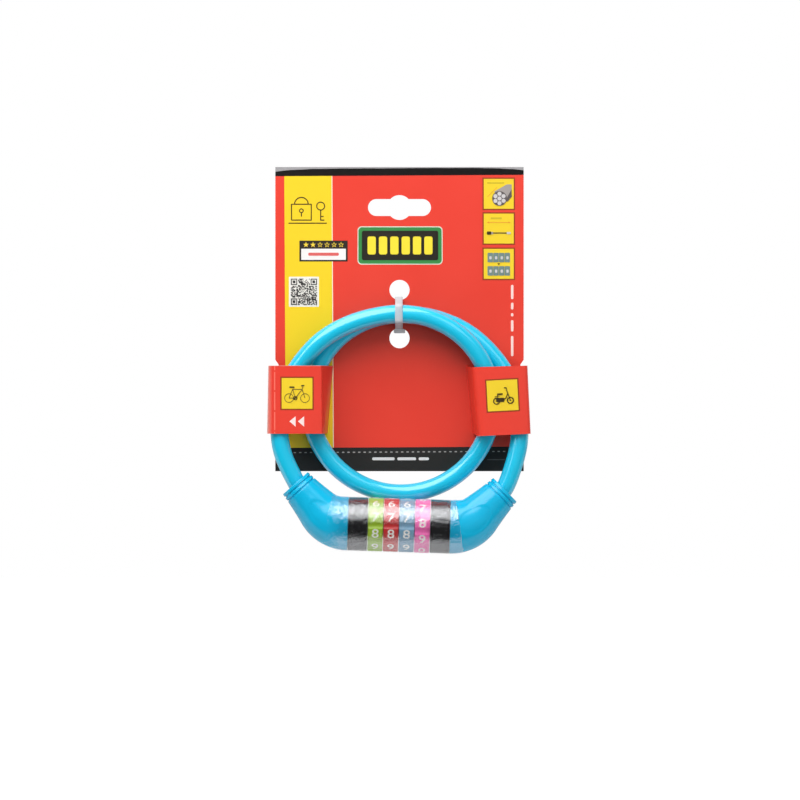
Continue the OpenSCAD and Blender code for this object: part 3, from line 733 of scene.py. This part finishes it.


# Red print with a line of perforation at the outer fold, lit by a painted highlight, a painted
# sheen on the left tab's outer fold and pale cut edges
def tabPrint(s):
    paint, cloud = boardPaint("tabPrint")
    x, y, z = paint.axes()
    # Dashes of perforation along the outer fold, drawn lighter than the red as a painted highlight
    # of the fold
    perforationHighlight = (abs(x - s["creaseX"]) < s["creaseHalf"]) * (y < s["creaseBehind"]) \
        * ((z - s["creaseFrom"]).maths("PINGPONG", s["creaseLong"]) > 0.5)
    # Painted sheen on the left tab's rounded outer fold, paler towards the outside, with a cloudy
    # strength
    foldSheenShare = ((s["foldSheenFrom"] - x) / s["foldSheenOver"]).maths("MAXIMUM", 0.0).maths("MINIMUM", 1.0)
    foldSheenShare = foldSheenShare * (y < s["foldSheenBehind"]) * (0.75 + (cloud - 0.5) * 0.3)
    cut = ((z > card["tabTop"] - 0.25) * (x < 0)).maths("MAXIMUM", z < card["tabFoot"] - 1.2)
    colour = paint.mix(s["tabShade"], s["red"], cloud)
    for above, where in ((s["perforationHighlight"], perforationHighlight), (s["foldSheen"], foldSheenShare), (s["cut"], cut * 0.6)):
        colour = paint.mix(colour, above, where)
    paint.set(Base_Color=colour, Coat_Weight=s["coat"],
              Roughness=s["rough"] + (cloud - 0.5) * 0.1)
    return paint.material


def arcPoints(cx, cz, r, start, end, steps=24):
    return [(cx + r * cos(radians(a)), cz + r * sin(radians(a)))
            for a in np.linspace(start, end, steps)]


# The board's edge, the hang slot and the two holes for the tie
def cardOutlines(c):
    half, step = c["width"] / 2, c["notchStep"]
    notch, tabTop, tabFoot = half - c["notch"], c["tabTop"], c["tabFoot"]
    right = [(half, c["top"]), (half, tabTop + c["notchHigh"]), (notch, tabTop + 2 * step),
             (notch, tabTop + step), (notch, tabFoot - step), (half, tabFoot - step),
             (half, c["foot"])]
    left = [(-x, z) for x, z in right[::-1]]
    end, r, hole = (c["slotW"] - c["slotH"]) / 2, c["slotH"] / 2, c["slotHole"] / 2
    meet = degrees(asin(r / hole))
    slot = (arcPoints(end, 0, r, -90, 90) + arcPoints(0, 0, hole, meet, 180 - meet)
            + arcPoints(-end, 0, r, 90, 270) + arcPoints(0, 0, hole, 180 + meet, 360 - meet))
    holes = [arcPoints(0, z, c["tieHole"] / 2, 0, 352.5, 47) for z in c["tieHoles"]]
    return [[left[-1], *right, *left[:-1]], slot, *holes]


# A sheet with holes, cut from flat outlines, standing in the XZ plane
def flatSheet(name, outlines, front, thick):
    curve = bpy.data.curves.new(name, "CURVE")
    curve.dimensions, curve.fill_mode, curve.extrude = "2D", "BOTH", thick / 2
    for outline in outlines:
        addLine(curve, [(x, z, 0) for x, z in outline], closed=True)
    mesh = evaluated(addObject(name + "Outline", curve))
    mesh.transform(Matrix.Scale(mm, 4) @ Matrix.Translation((0, front + thick / 2, 0))
                   @ Matrix.Rotation(pi / 2, 4, "X"))
    return mesh


# A line through corners (x, y, radius), with each corner rounded to its radius
def foldedLine(corners, steps=8):
    points = [np.array(corners[0][:2], float)]
    for before, here, after in zip(corners, corners[1:], corners[2:]):
        p = np.array(here[:2], float)
        a, b = np.array(before[:2]) - p, np.array(after[:2]) - p
        a, b = a / np.linalg.norm(a), b / np.linalg.norm(b)
        half = acos(np.clip(a @ b, -1, 1)) / 2
        cut, middle = here[2] / np.tan(half), (a + b) / np.linalg.norm(a + b) * here[2] / sin(half)
        first, last = p + a * cut - (p + middle), p + b * cut - (p + middle)
        sweep = acos(np.clip(first @ last / here[2] ** 2, -1, 1))
        for t in np.linspace(0, 1, steps):
            arc = sin((1 - t) * sweep) * first + sin(t * sweep) * last
            points.append(p + middle + arc / sin(sweep))
    points.append(np.array(corners[-1][:2], float))
    return points


# A tab that leaves the card's side, folds over the cable and folds back to the card
def tabMesh(side, c):
    t, levels = c["thick"], c["tabLevels"]
    outerR, innerR = c["fold"][side]
    dropWide, dropDeep = c["dropOver"]
    rows = []
    for row in range(levels + 1):
        v = row / levels
        front, rear = [between(a, b, v) for a, b in zip(*c["inner"][side])]
        outer, low = between(*c["outer"][side], v), between(*c["drop"][side], v)
        line = foldedLine([(c["width"] / 2 - c["tabRoot"], t, 1), (outer, t, 1.4),
                           (outer, c["tabFront"], outerR), (front, c["tabFront"], innerR),
                           (rear, 0, 1)])
        away = [np.array([b[1] - a[1], a[0] - b[0]]) for a, b in zip(line, line[1:])]
        away = [w / np.linalg.norm(w) for w in away]
        corners = [(a + b) / np.linalg.norm(a + b) for a, b in zip(away, away[1:])]
        normals = [away[0], *corners, away[-1]]
        section = line + [p + n * t for p, n in zip(line[::-1], normals[::-1])]
        top = between(c["tabTop"], c["tabFoot"], v)
        for x, y in section:
            share = np.clip((outer - x) / dropWide, 0, 1) * min(1, -y / dropDeep if y < 0 else 0)
            rows.append((side * x, y, top - low * share))
    columns = len(rows) // (levels + 1)
    faces = gridFaces(levels + 1, columns)
    for base in (0, levels * columns):      # the cut edges at the top and the foot
        faces += [(base + k, base + k + 1, base + columns - 2 - k, base + columns - 1 - k)
                  for k in range(columns // 2 - 1)]
    return rows, faces


board = flatSheet("card", cardOutlines(card), 0, card["thick"])
finishPiece("card_board", board, fixedBody, printedCard(cardPrint), ["hang_card"], sharp=30)
foldedPrint = tabPrint(cardPrint)
for side, name in ((-1, "left_tab"), (1, "right_tab")):
    makePiece(name, tabMesh(side, card), fixedBody, foldedPrint, ["hang_card"], sharp=40)
print("card made")


# Flat shapes in one colour, drawn in the XZ plane and laid on the card's face or on a tab's. Each
# shape stands a little higher than the one before it, so that where they overlap both are clear.
class Ink:
    def __init__(self, name, colour, surface=0.0, middle=(0, 0), turn=0.0):
        self.name, self.colour = name, colour
        self.surface, self.middle, self.turn = surface, middle, radians(turn)
        self.points, self.faces, self.height = [], [], 0.03

    def prism(self, outline):      # the outline is convex and runs anticlockwise
        base, n = len(self.points), len(outline)
        c, s = cos(self.turn), sin(self.turn)
        for y in (self.surface - self.height, self.surface + 0.01):
            self.points += [(self.middle[0] + x * c - z * s, y, self.middle[1] + x * s + z * c)
                            for x, z in outline]
        self.faces.append(tuple(base + k for k in range(n)))
        self.faces.append(tuple(base + n + k for k in reversed(range(n))))
        self.faces += [(base + k, base + n + k, base + n + (k + 1) % n, base + (k + 1) % n)
                       for k in range(n)]
        self.height += 0.0005

    def rectangle(self, x0, x1, z0, z1):
        self.prism([(x0, z0), (x1, z0), (x1, z1), (x0, z1)])

    def rounded(self, x0, x1, z0, z1, r):
        corners = [(x1 - r, z1 - r, 0), (x0 + r, z1 - r, 90),
                   (x0 + r, z0 + r, 180), (x1 - r, z0 + r, 270)]
        self.prism([p for x, z, a in corners for p in arcPoints(x, z, r, a, a + 90, 7)])

    def disc(self, x, z, r, sides=28):
        self.prism(arcPoints(x, z, r, 0, 360 - 360 / sides, sides))

    def stroke(self, points, width):      # a line of even width with round joints
        for (x0, z0), (x1, z1) in zip(points, points[1:]):
            long = hypot(x1 - x0, z1 - z0)
            dx, dz = -(z1 - z0) / long * width / 2, (x1 - x0) / long * width / 2
            self.prism([(x0 - dx, z0 - dz), (x1 - dx, z1 - dz),
                        (x1 + dx, z1 + dz), (x0 + dx, z0 + dz)])
        for x, z in points[1:-1]:
            self.disc(x, z, width / 2, 10)

    def star(self, x, z, r):
        tips = arcPoints(x, z, r, 90, 378, 5)
        dips = arcPoints(x, z, r * 0.42, 54, 342, 5)
        for k in range(5):
            self.prism([(x, z), dips[k], tips[k], dips[(k + 1) % 5]])

    def ring(self, x, z, r, width, sides=32):
        line = arcPoints(x, z, r, 0, 360, sides + 1)
        for a, b in zip(line, line[1:]):
            inner = [(x + (p[0] - x) * (r - width) / r, z + (p[1] - z) * (r - width) / r)
                     for p in (a, b)]
            self.prism([inner[0], a, b, inner[1]])

    def make(self):
        mesh = bpy.data.meshes.new(self.name)
        mesh.from_pydata([tuple(float(v) * mm for v in p) for p in self.points], [], self.faces)
        mesh.materials.append(mouldedPlastic(self.name + "Ink", self.colour, rough=0.4,
                                             spread=0.04, coat=0.2))
        piece = addObject(self.name, mesh)
        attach(piece, fixedBody)


signs = {
    "square": 16.6, "border": 0.75, "brown": linear(150, 56, 10), "yellow": linear(240, 206, 30),
    # the inks of a sign's drawing, from the lowest layer to the highest
    "inks": {
        "faint": linear(206, 180, 22), "orange": linear(232, 150, 34),
        "olive": linear(122, 102, 30), "middle": linear(160, 152, 148),
        "teal": linear(112, 136, 132), "deep": linear(92, 84, 84),
        "light": linear(204, 200, 200), "dark": linear(62, 50, 20),
    },
    "fieldUp": 0.04, "inkUp": 0.08, "layer": 0.03,      # heights over the sign's border
}


# A cut cable: a shaded stub behind a dark face with seven strands
def drawCableSign(layers):
    layers["middle"].prism([(-2.5, 1.3), (0.4, -2.6), (5.0, -4.2), (7.2, -1.5), (7.1, 5.2),
                            (4.4, 5.2)])
    layers["deep"].prism([(3.2, -4.6), (5.0, -4.2), (7.2, -1.5), (7.15, 2.6)])
    layers["deep"].disc(0.4, -2.6, 4.1)
    for x, z in [(0.4, -2.6)] + arcPoints(0.4, -2.6, 2.6, 30, 330, 6):
        layers["light"].disc(x, z, 1.15, 16)
    layers["orange"].stroke([(-6.2, -1.6), (-1, 3.6)], 0.3)
    layers["faint"].rectangle(-6.4, 3, 5.6, 6.5)


# A straight cable under a measuring line
def drawLengthSign(layers):
    layers["orange"].stroke([(-6, 3.4), (6, 3.4)], 0.4)
    for side in (-1, 1):
        layers["orange"].prism([(side * 6.6, 3.4), (side * 5.4, 4.0), (side * 5.4, 2.8)][::side])
    layers["dark"].rounded(-6.6, -4.2, -3.4, -1.6, 0.4)
    layers["middle"].rectangle(-4.2, -3.2, -3.2, -1.8)
    layers["olive"].rectangle(-3.2, 4.4, -2.9, -2.1)
    layers["light"].rounded(4.4, 6.6, -3.1, -1.9, 0.3)
    layers["faint"].rectangle(-4.4, 1.6, 5.2, 6.2)


# Two rows of four dials, with a small arrow between them
def drawDialSign(layers):
    for z in (3.5, -3.9):
        for k in range(4):
            x = (k - 1.5) * 3.15
            layers["teal"].rounded(x - 1.5, x + 1.5, z - 2.6, z + 2.6, 0.4)
            layers["light"].rounded(x - 0.55, x + 0.75, z - 1, z + 0.7, 0.4)
    layers["dark"].prism([(-0.8, 0.3), (0, -0.7), (0.8, 0.3)])


def drawBicycle(layers):
    ink, seatInk = layers["olive"], layers["dark"]
    rear, front = (-4.4, -2.6), (4.4, -2.6)
    for wheel in (rear, front):
        ink.ring(*wheel, 2.6, 0.36)
    crank, seat, head = (-0.9, -2.6), (-2.4, 2.2), (2.8, 2.2)
    for line in ([rear, crank, seat, rear], [seat, head, crank], [head, front],
                 [(3.4, 4.2), head]):
        ink.stroke(line, 0.42)
    seatInk.rounded(-4.2, -1.4, 3.0, 3.8, 0.35)
    seatInk.stroke([(2.3, 4.2), (4.0, 4.4)], 0.6)
    seatInk.ring(*crank, 1.1, 0.45, 20)
    seatInk.stroke([(-1.9, -3.5), (0.1, -1.7)], 0.4)


def drawMoped(layers):
    ink = layers["dark"]
    rear, front = (-3.4, -3.0), (4.2, -2.9)
    for wheel in (rear, front):
        ink.ring(*wheel, 1.95, 0.6)
        ink.disc(*wheel, 0.45, 12)
    ink.rounded(-3.6, 1.0, -3.6, -1.3, 0.8)
    ink.rounded(-3.0, 0.2, 0.3, 1.2, 0.4)
    for line, width in (
        ([(-2.6, 0.3), rear], 0.4), ([(0.6, -1.8), (1.6, -1.8), (3.0, 0.8)], 0.55),
        ([front, (2.6, 2.2), (2.1, 4.0)], 0.45), ([(1.0, 4.2), (2.5, 3.9)], 0.55),
        ([(-4.4, -0.6), (-1.6, -0.2)], 0.3),
    ):
        ink.stroke(line, width)


# A yellow square with a brown border, and the drawing on it
def makeSign(name, middle, draw, surface=0.0, turn=0.0, larger=0.0):
    s = signs
    half = s["square"] / 2 + larger
    for layer, colour, reach, up in (("frame", s["brown"], half + s["border"], 0.0),
                                     ("field", s["yellow"], half, s["fieldUp"])):
        square = Ink(f"{name}_{layer}", colour, surface - up, middle, turn)
        square.rectangle(-reach, reach, -reach, reach)
        square.make()
    layers = {
        tone: Ink(f"{name}_{tone}", colour, surface - s["inkUp"] - s["layer"] * level, middle, turn)
        for level, (tone, colour) in enumerate(s["inks"].items())
    }
    draw(layers)
    for ink in layers.values():
        if ink.points:
            ink.make()


makeSign("cable_sign", (55.15, 7.6), drawCableSign)
makeSign("length_sign", (55.15, -11.7), drawLengthSign)
makeSign("dial_sign", (55.15, -31.3), drawDialSign)
makeSign("bicycle", (-56.4, -103.3), drawBicycle, card["tabFront"], 0.0, 0.15)
makeSign("moped", (56.7, -104.4), drawMoped, card["tabFront"], 2.9, 0.15)

arrows = Ink("tab_arrows", linear(250, 226, 222), card["tabFront"])
for x in (-60.6, -55.9):
    arrows.prism([(x, -118.7), (x + 3.4, -121.6), (x + 3.4, -115.9)])
arrows.make()

# A plain rounded badge with one row of blocks
badge = {
    "middle": (0.3, -21.1), "half": (23.6, 10.6),
    # name, colour, distance in from the edge, and height over the card
    "layers": [("badge_edge", linear(214, 224, 206), 0, 0.0),
               ("badge_green", linear(52, 138, 66), 0.5, 0.04),
               ("badge_field", linear(36, 33, 24), 2.4, 0.08)],
    "blocks": 6, "pitch": 6.3, "block": (2.3, 5.0), "yellow": linear(246, 222, 48),
}
for name, colour, inset, up in badge["layers"]:
    ink = Ink(name, colour, -up, badge["middle"])
    w, h = [v - inset for v in badge["half"]]
    ink.rounded(-w, w, -h, h, max(0.8, 2.2 - inset * 0.5))
    ink.make()
blocks = Ink("badge_bars", badge["yellow"], -0.12, badge["middle"])
w, h = badge["block"]
for k in range(badge["blocks"]):
    x = (k - (badge["blocks"] - 1) / 2) * badge["pitch"]
    blocks.rounded(x - w, x + w, -h, h, 1.1)
blocks.make()

# A small grade label: two full stars and four hollow ones over a white field with a red bar
grade = {"middle": (-42.2, -24.2), "dark": linear(44, 36, 30), "white": linear(238, 234, 232),
         "yellow": linear(240, 206, 60), "red": linear(222, 96, 92),
         "stars": 6, "full": 2, "pitch": 3.9, "starZ": 3.5, "starR": 1.65, "hollowR": 0.95}
gradeInks = [
    Ink("grade_" + name, grade[tone], -up, grade["middle"])
    for name, tone, up in (("label", "dark", 0.0), ("field", "white", 0.04),
                           ("stars", "yellow", 0.04), ("hollows", "dark", 0.08),
                           ("bar", "red", 0.08))
]
label, field, stars, hollows, bar = gradeInks
label.rectangle(-13.4, 13.4, -5.8, 5.8)
field.rectangle(-12.4, 12.4, -4.9, 1.3)
for k in range(grade["stars"]):
    x = (k - (grade["stars"] - 1) / 2) * grade["pitch"]
    stars.star(x, grade["starZ"], grade["starR"])
    if k >= grade["full"]:
        hollows.star(x, grade["starZ"], grade["hollowR"])
bar.rounded(-8.5, 8.5, -2.6, -0.9, 0.7)
for ink in gradeInks:
    ink.make()

# A line drawing of a padlock and a key
padlock = {"colour": linear(66, 50, 8), "middle": (-51, -0.4), "line": 0.62}
drawing = Ink("padlock_drawing", padlock["colour"], middle=padlock["middle"])
drawing.stroke([(-9, -6.6), (2, -6.6), (2, 2.2), (-9, 2.2), (-9, -6.6)], padlock["line"])
drawing.stroke(arcPoints(-3.5, 2.2, 3.8, 0, 180, 16), padlock["line"])
drawing.ring(-3.5, -1.4, 1.3, 0.55, 20)
drawing.stroke([(-3.5, -2.5), (-3.5, -4.6)], padlock["line"])
drawing.ring(7.2, 1.2, 2.5, padlock["line"], 24)
for line in ([(7.2, -1.2), (7.2, -6.6), (9.2, -6.6)], [(7.2, -4.6), (8.8, -4.6)],
             [(-10.6, -8.3), (10.6, -8.3)]):
    drawing.stroke(line, padlock["line"])
drawing.make()

# A square of scattered cells with three ringed corners; it holds no data
code = {"middle": (-53.1, -46.8), "half": 8.35, "count": 29, "cell": 0.5, "seed": 7,
        "white": linear(238, 234, 226), "dark": linear(56, 53, 52)}
field = Ink("cell_field", code["white"], middle=code["middle"])
field.rounded(-code["half"], code["half"], -code["half"], code["half"], 0.4)
field.make()
cells = Ink("cell_pattern", code["dark"], -0.04, code["middle"])
scatter = np.random.default_rng(code["seed"])
dots = scatter.random((code["count"], code["count"])) < 0.5
fromMiddle = np.maximum(*np.abs(np.indices((7, 7)) - 3))
corner = np.zeros((8, 8), bool)
corner[:7, :7] = fromMiddle != 2
dots[:8, :8], dots[:8, -8:], dots[-8:, :8] = corner, corner[:, ::-1], corner[::-1]
for row, column in zip(*np.nonzero(dots)):
    x, z = [(k - code["count"] / 2) * code["cell"] for k in (column, code["count"] - 1 - row)]
    cells.rectangle(x, x + code["cell"], z, z + code["cell"])
cells.make()

# Plain bars in place of small print: name, colour, and x0, x1, z0, z1 of each bar
footBars = [(-15.2, -2.7), (-1.2, 9.2), (10.6, 16.4)]
sideBars = [(-82.6, -71.4), (-68.9, -62.6), (-60.5, -58.7), (-56.6, -52.9), (-50.9, -43.0)]
for name, colour, bars in (
    ("foot_print", linear(216, 216, 216), [(x0, x1, -140.4, -138.8) for x0, x1 in footBars]),
    ("side_print", linear(248, 214, 206), [(61.9, 63.3, z0, z1) for z0, z1 in sideBars]),
    ("corner_print", linear(104, 106, 106), [(48.6, 58.4, -140.3, -139.9)]),
):
    ink = Ink(name, colour)
    for x0, x1, z0, z1 in bars:
        ink.rounded(x0, x1, z0, z1, min(x1 - x0, z1 - z0) * 0.45)
    ink.make()
print("prints made")


tie = {
    "width": 4.2, "thick": 1.1, "gap": 0.3, "edge": 0.35, "x": -0.35,
    "round": 1, "frontRound": 2.2, "back": 1.3, "loopTop": -59.4,
    "above": 2.1, "below": 0.8,      # how far inside its hole's edge the strap passes
    "head": (6.4, 5.6, 4.6), "headZ": (-69.8, -64.2), "headRound": 0.7,
    "dark": linear(198, 200, 206), "pale": linear(222, 223, 228), "alpha": 0.73,
}


# The strap's inner line in the YZ plane: round the two strands and through the card
def tieLine(t):
    half, hole = cable["diameter"] / 2 + t["gap"], card["tieHole"] / 2
    up = card["tieHoles"][0] - hole + t["above"]
    down = card["tieHoles"][1] + hole - t["below"]
    frontY = cable["frontY"] - half
    corners = [(t["back"], (up + down) / 2, 1), (t["back"], up, t["round"]),
               (frontY, t["loopTop"] + half, t["frontRound"]),
               (frontY, t["loopTop"] - half, t["frontRound"]),
               (t["back"], down, t["round"]), (t["back"], (up + down) / 2, 1)]
    return foldedLine(corners, 7)[:-1]


def tieMesh(t):
    line = tieLine(t)
    count = len(line)
    w, e, h = t["width"] / 2, t["edge"], t["thick"]
    section = [(-w, e), (-w + e, 0), (w - e, 0), (w, e),
               (w, h - e), (w - e, h), (-w + e, h), (-w, h - e)]
    points = []
    for k, p in enumerate(line):
        along = line[(k + 1) % count] - line[k - 1]
        outward = np.array([-along[1], along[0]]) / np.linalg.norm(along)
        points += [(x + t["x"], *(p + outward * d)) for x, d in section]
    return points, gridFaces(count, len(section), closeRows=True)


def tieHead(t):
    build = bmesh.new()
    bmesh.ops.create_cube(build, size=1)
    w, h, d = t["head"]
    low, high = t["headZ"]
    y = t["back"] + t["thick"] / 2
    for v in build.verts:
        v.co = Vector((v.co.x * w, y + (v.co.y + 0.5) * d, (low + high) / 2 + v.co.z * h))
    bmesh.ops.bevel(build, geom=build.edges[:], offset=t["headRound"], segments=3,
                    affect="EDGES", profile=0.6)
    bmesh.ops.scale(build, vec=(mm, mm, mm), verts=build.verts)
    mesh = bpy.data.meshes.new("tie_head")
    build.to_mesh(mesh)
    build.free()
    return mesh


def nylon(t):
    paint = Paint("tieNylon", IOR=1.5, Alpha=t["alpha"])
    cloud, fine = paint.noise(3, 3), paint.noise(0.5)
    paint.set(Base_Color=paint.mix(t["dark"], t["pale"], cloud),
              Roughness=0.38 + (fine - 0.5) * 0.1)
    paint.bump(fine, 0.01)
    return paint.material


tieNylon = nylon(tie)
makePiece("tie_strap", tieMesh(tie), fixedBody, tieNylon, ["cable_tie"], sharp=60)
finishPiece("tie_head", tieHead(tie), fixedBody, tieNylon, ["cable_tie"], sharp=50)
print("tie made")


film = {
    "gap": 0.22, "thick": 0.1, "wrinkle": 0.16, "around": 200, "step": 0.6,
    "left": (-40.2, 0.24), "right": (33.6, -0.16),      # each end's place and slant
    "ragged": 0.5,
    "flat": 28, "flatShare": 0.6,      # over the dials and collars the wrinkles are lower
    "fade": 8,      # the film clings and all but vanishes over this length of its left end
    "colour": linear(250, 252, 255), "rough": 0.06, "shine": 0.13, "shineSpread": 0.16,
    "crinkle": 0.33,
}


# Middle, heading and radius of the barrel with its elbows, at the distance u along it
def skinAt(u):
    away = abs(u) - barrel["face"]
    if away <= 0:
        return u, 0.0, 0.0, barrel["radius"]
    x, z, a = elbowAt(away)
    side = 1 if u > 0 else -1
    return side * (barrel["face"] + x), z, side * a, elbowRadius(away)


# The distance along the barrel at which its skin, at the angle q, stands at x
def stationAt(x, q):
    low, high = (0.0, 60.0) if x > 0 else (-60.0, 0.0)
    for _ in range(30):
        u = (low + high) / 2
        middle, z, a, r = skinAt(u)
        if middle - r * sin(q) * sin(a) < x:
            low = u
        else:
            high = u
    return u


# Height of the shrunken film's fine creases
def wrinkle(u, q):
    p = Vector((u * 0.35, 7 * cos(q), 7 * sin(q)))
    lengthwise = Vector((u * 1.6, 3 * cos(q), 3 * sin(q)))
    return noise.noise(p) + 0.5 * noise.noise(p * 2.3) + 0.3 * noise.noise(lengthwise)


def filmMesh(f):
    around, rows = f["around"], int((f["right"][0] - f["left"][0]) / f["step"]) + 1
    turns = [2 * pi * k / around for k in range(around)]
    lows, highs = [
        [stationAt(at + slant * barrel["radius"] * sin(q)
                   + f["ragged"] * noise.noise(Vector((5 * cos(q), 5 * sin(q), at))), q)
         for q in turns]
        for at, slant in (f["left"], f["right"])
    ]
    points = []
    for outward, order in ((f["gap"] + f["thick"], range(rows + 1)),
                           (f["gap"], range(rows, -1, -1))):
        for row in order:
            for q, start, end in zip(turns, lows, highs):
                u = start + (end - start) * row / rows
                x, z, a, r = skinAt(u)
                share = f["flatShare"] if abs(u) < f["flat"] else 1.0
                r += outward + f["wrinkle"] * max(-0.9, wrinkle(u, q)) * share
                local = (x - r * sin(q) * sin(a), -r * cos(q), z + r * sin(q) * cos(a))
                points.append(barrelMiddle + tilted(local))
    return points, gridFaces(2 * (rows + 1), around, closeRows=True)


# Clear crinkled film: it mirrors a small share of the light and lets the rest through
def clearFilm(f):
    paint = Paint("clearFilm", Metallic=1.0, Base_Color=f["colour"], Roughness=f["rough"])
    x = paint.axes()[0]
    crinkle, fine = paint.noise(1.2, 4, 0.6), paint.noise(0.45, 2, 0.6)
    fade = paint.node("Clamp", None, {
        "Value": (x - f["left"][0]) / f["fade"] + (crinkle - 0.5) * 2})
    paint.set(Alpha=((crinkle - 0.5) * f["shineSpread"] + f["shine"]) * fade)
    paint.bump(crinkle * 0.6 + fine * 0.4, f["crinkle"])
    return paint.material


makePiece("clear_film", filmMesh(film), fixedBody, clearFilm(film), ["shrink_film"],
          sharp=180)
print("film made")


stage = {
    "floorZ": -330, "floorHalf": 3000, "tableFront": -110,
    "paper": (linear(236, 236, 236), linear(242, 242, 242)), "floorGlow": 0.85,
    "lamps": {
        # place, aim, size across and along, radiance, and whether its own reflection shows
        "overhead": ((-279, -460, 629), (0, -10, -100), (940, 1040), 3.0, True),
        "right": ((700, -1150, 160), (0, -10, -110), (1600, 1600), 0.6, False),
        "flank": ((330, -500, 360), (0, -10, -110), (340, 340), 0.9, True),
        "strip": ((-630, -622, 97), (0, -10, -110), (90, 240), 3.0, True),
    },
    "room": 0.31,
    "mirroredFrom": (-0.2, 0.5), "mirrored": (0.02, 1.0),      # dark in front, white behind
}


# 1 where the camera looks, straight or through something clear
def seenRay(nodes):
    camera, through = [nodes.node("LightPath", output=f"Is {way} Ray")
                       for way in ("Camera", "Transmission")]
    return camera.maths("MAXIMUM", through)


def makeFloor(s):
    h, front = s["floorHalf"] * mm, s["tableFront"] * mm
    mesh = bpy.data.meshes.new("floor")
    mesh.from_pydata([(-h, front, 0), (h, front, 0), (h, h, 0), (-h, h, 0)], [], [(0, 1, 2, 3)])
    floor = addObject("floor", mesh)
    floor.location.z = s["floorZ"] * mm
    paint = Paint("floorPaper", Roughness=0.9)
    paint.set(Base_Color=paint.mix(*s["paper"], paint.noise(200)))
    glow = paint.node("Emission", None, {"Color": (1, 1, 1, 1), "Strength": s["floorGlow"]})
    plain = Wire(paint, paint.shader.outputs[0])
    lit = paint.node("AddShader", None, {0: plain, 1: glow})
    mixed = paint.node("MixShader", None, {0: seenRay(paint), 1: plain, 2: lit})
    paint.feed(paint.tree.nodes["Material Output"].inputs["Surface"], mixed)
    mesh.materials.append(paint.material)


def makeLamp(name, place, aim, size, radiance, shiny):
    data = bpy.data.lights.new(name, "AREA")
    across, along = [v * mm for v in size]
    data.shape, data.size, data.size_y = "RECTANGLE", across, along
    data.energy = radiance * 4 * across * along
    lamp = addObject(name, data)
    lamp.location = [v * mm for v in place]
    lamp.rotation_euler = (Vector(aim) - Vector(place)).to_track_quat("-Z", "Y").to_euler()
    lamp.visible_glossy = shiny


# White to the camera, grey as light, and from dark to white in a reflection
def makeRoom(s):
    world = bpy.data.worlds.new("room")
    bpy.context.scene.world = world
    world.use_nodes = True
    nodes = Nodes(world.node_tree)
    depth = nodes.node("SeparateXYZ", None, {0: nodes.node("TexCoord", output="Generated")}, "Y")
    behind = nodes.node("MapRange", None, {
        "Value": depth, "From Min": s["mirroredFrom"][0], "From Max": s["mirroredFrom"][1],
        "To Min": s["mirrored"][0], "To Max": s["mirrored"][1]})
    mirrorRay = nodes.node("LightPath", output="Is Glossy Ray")
    light = nodes.node("Mix", None, {0: mirrorRay, 2: s["room"], 3: behind})
    strength = nodes.node("Mix", None, {0: seenRay(nodes), 2: light, 3: 1.0})
    back = world.node_tree.nodes["Background"]
    back.inputs["Color"].default_value = (1, 1, 1, 1)
    nodes.feed(back.inputs["Strength"], strength)


makeFloor(stage)
for name, lamp in stage["lamps"].items():
    makeLamp(name + "Lamp", *lamp)
makeRoom(stage)
print("stage lit")
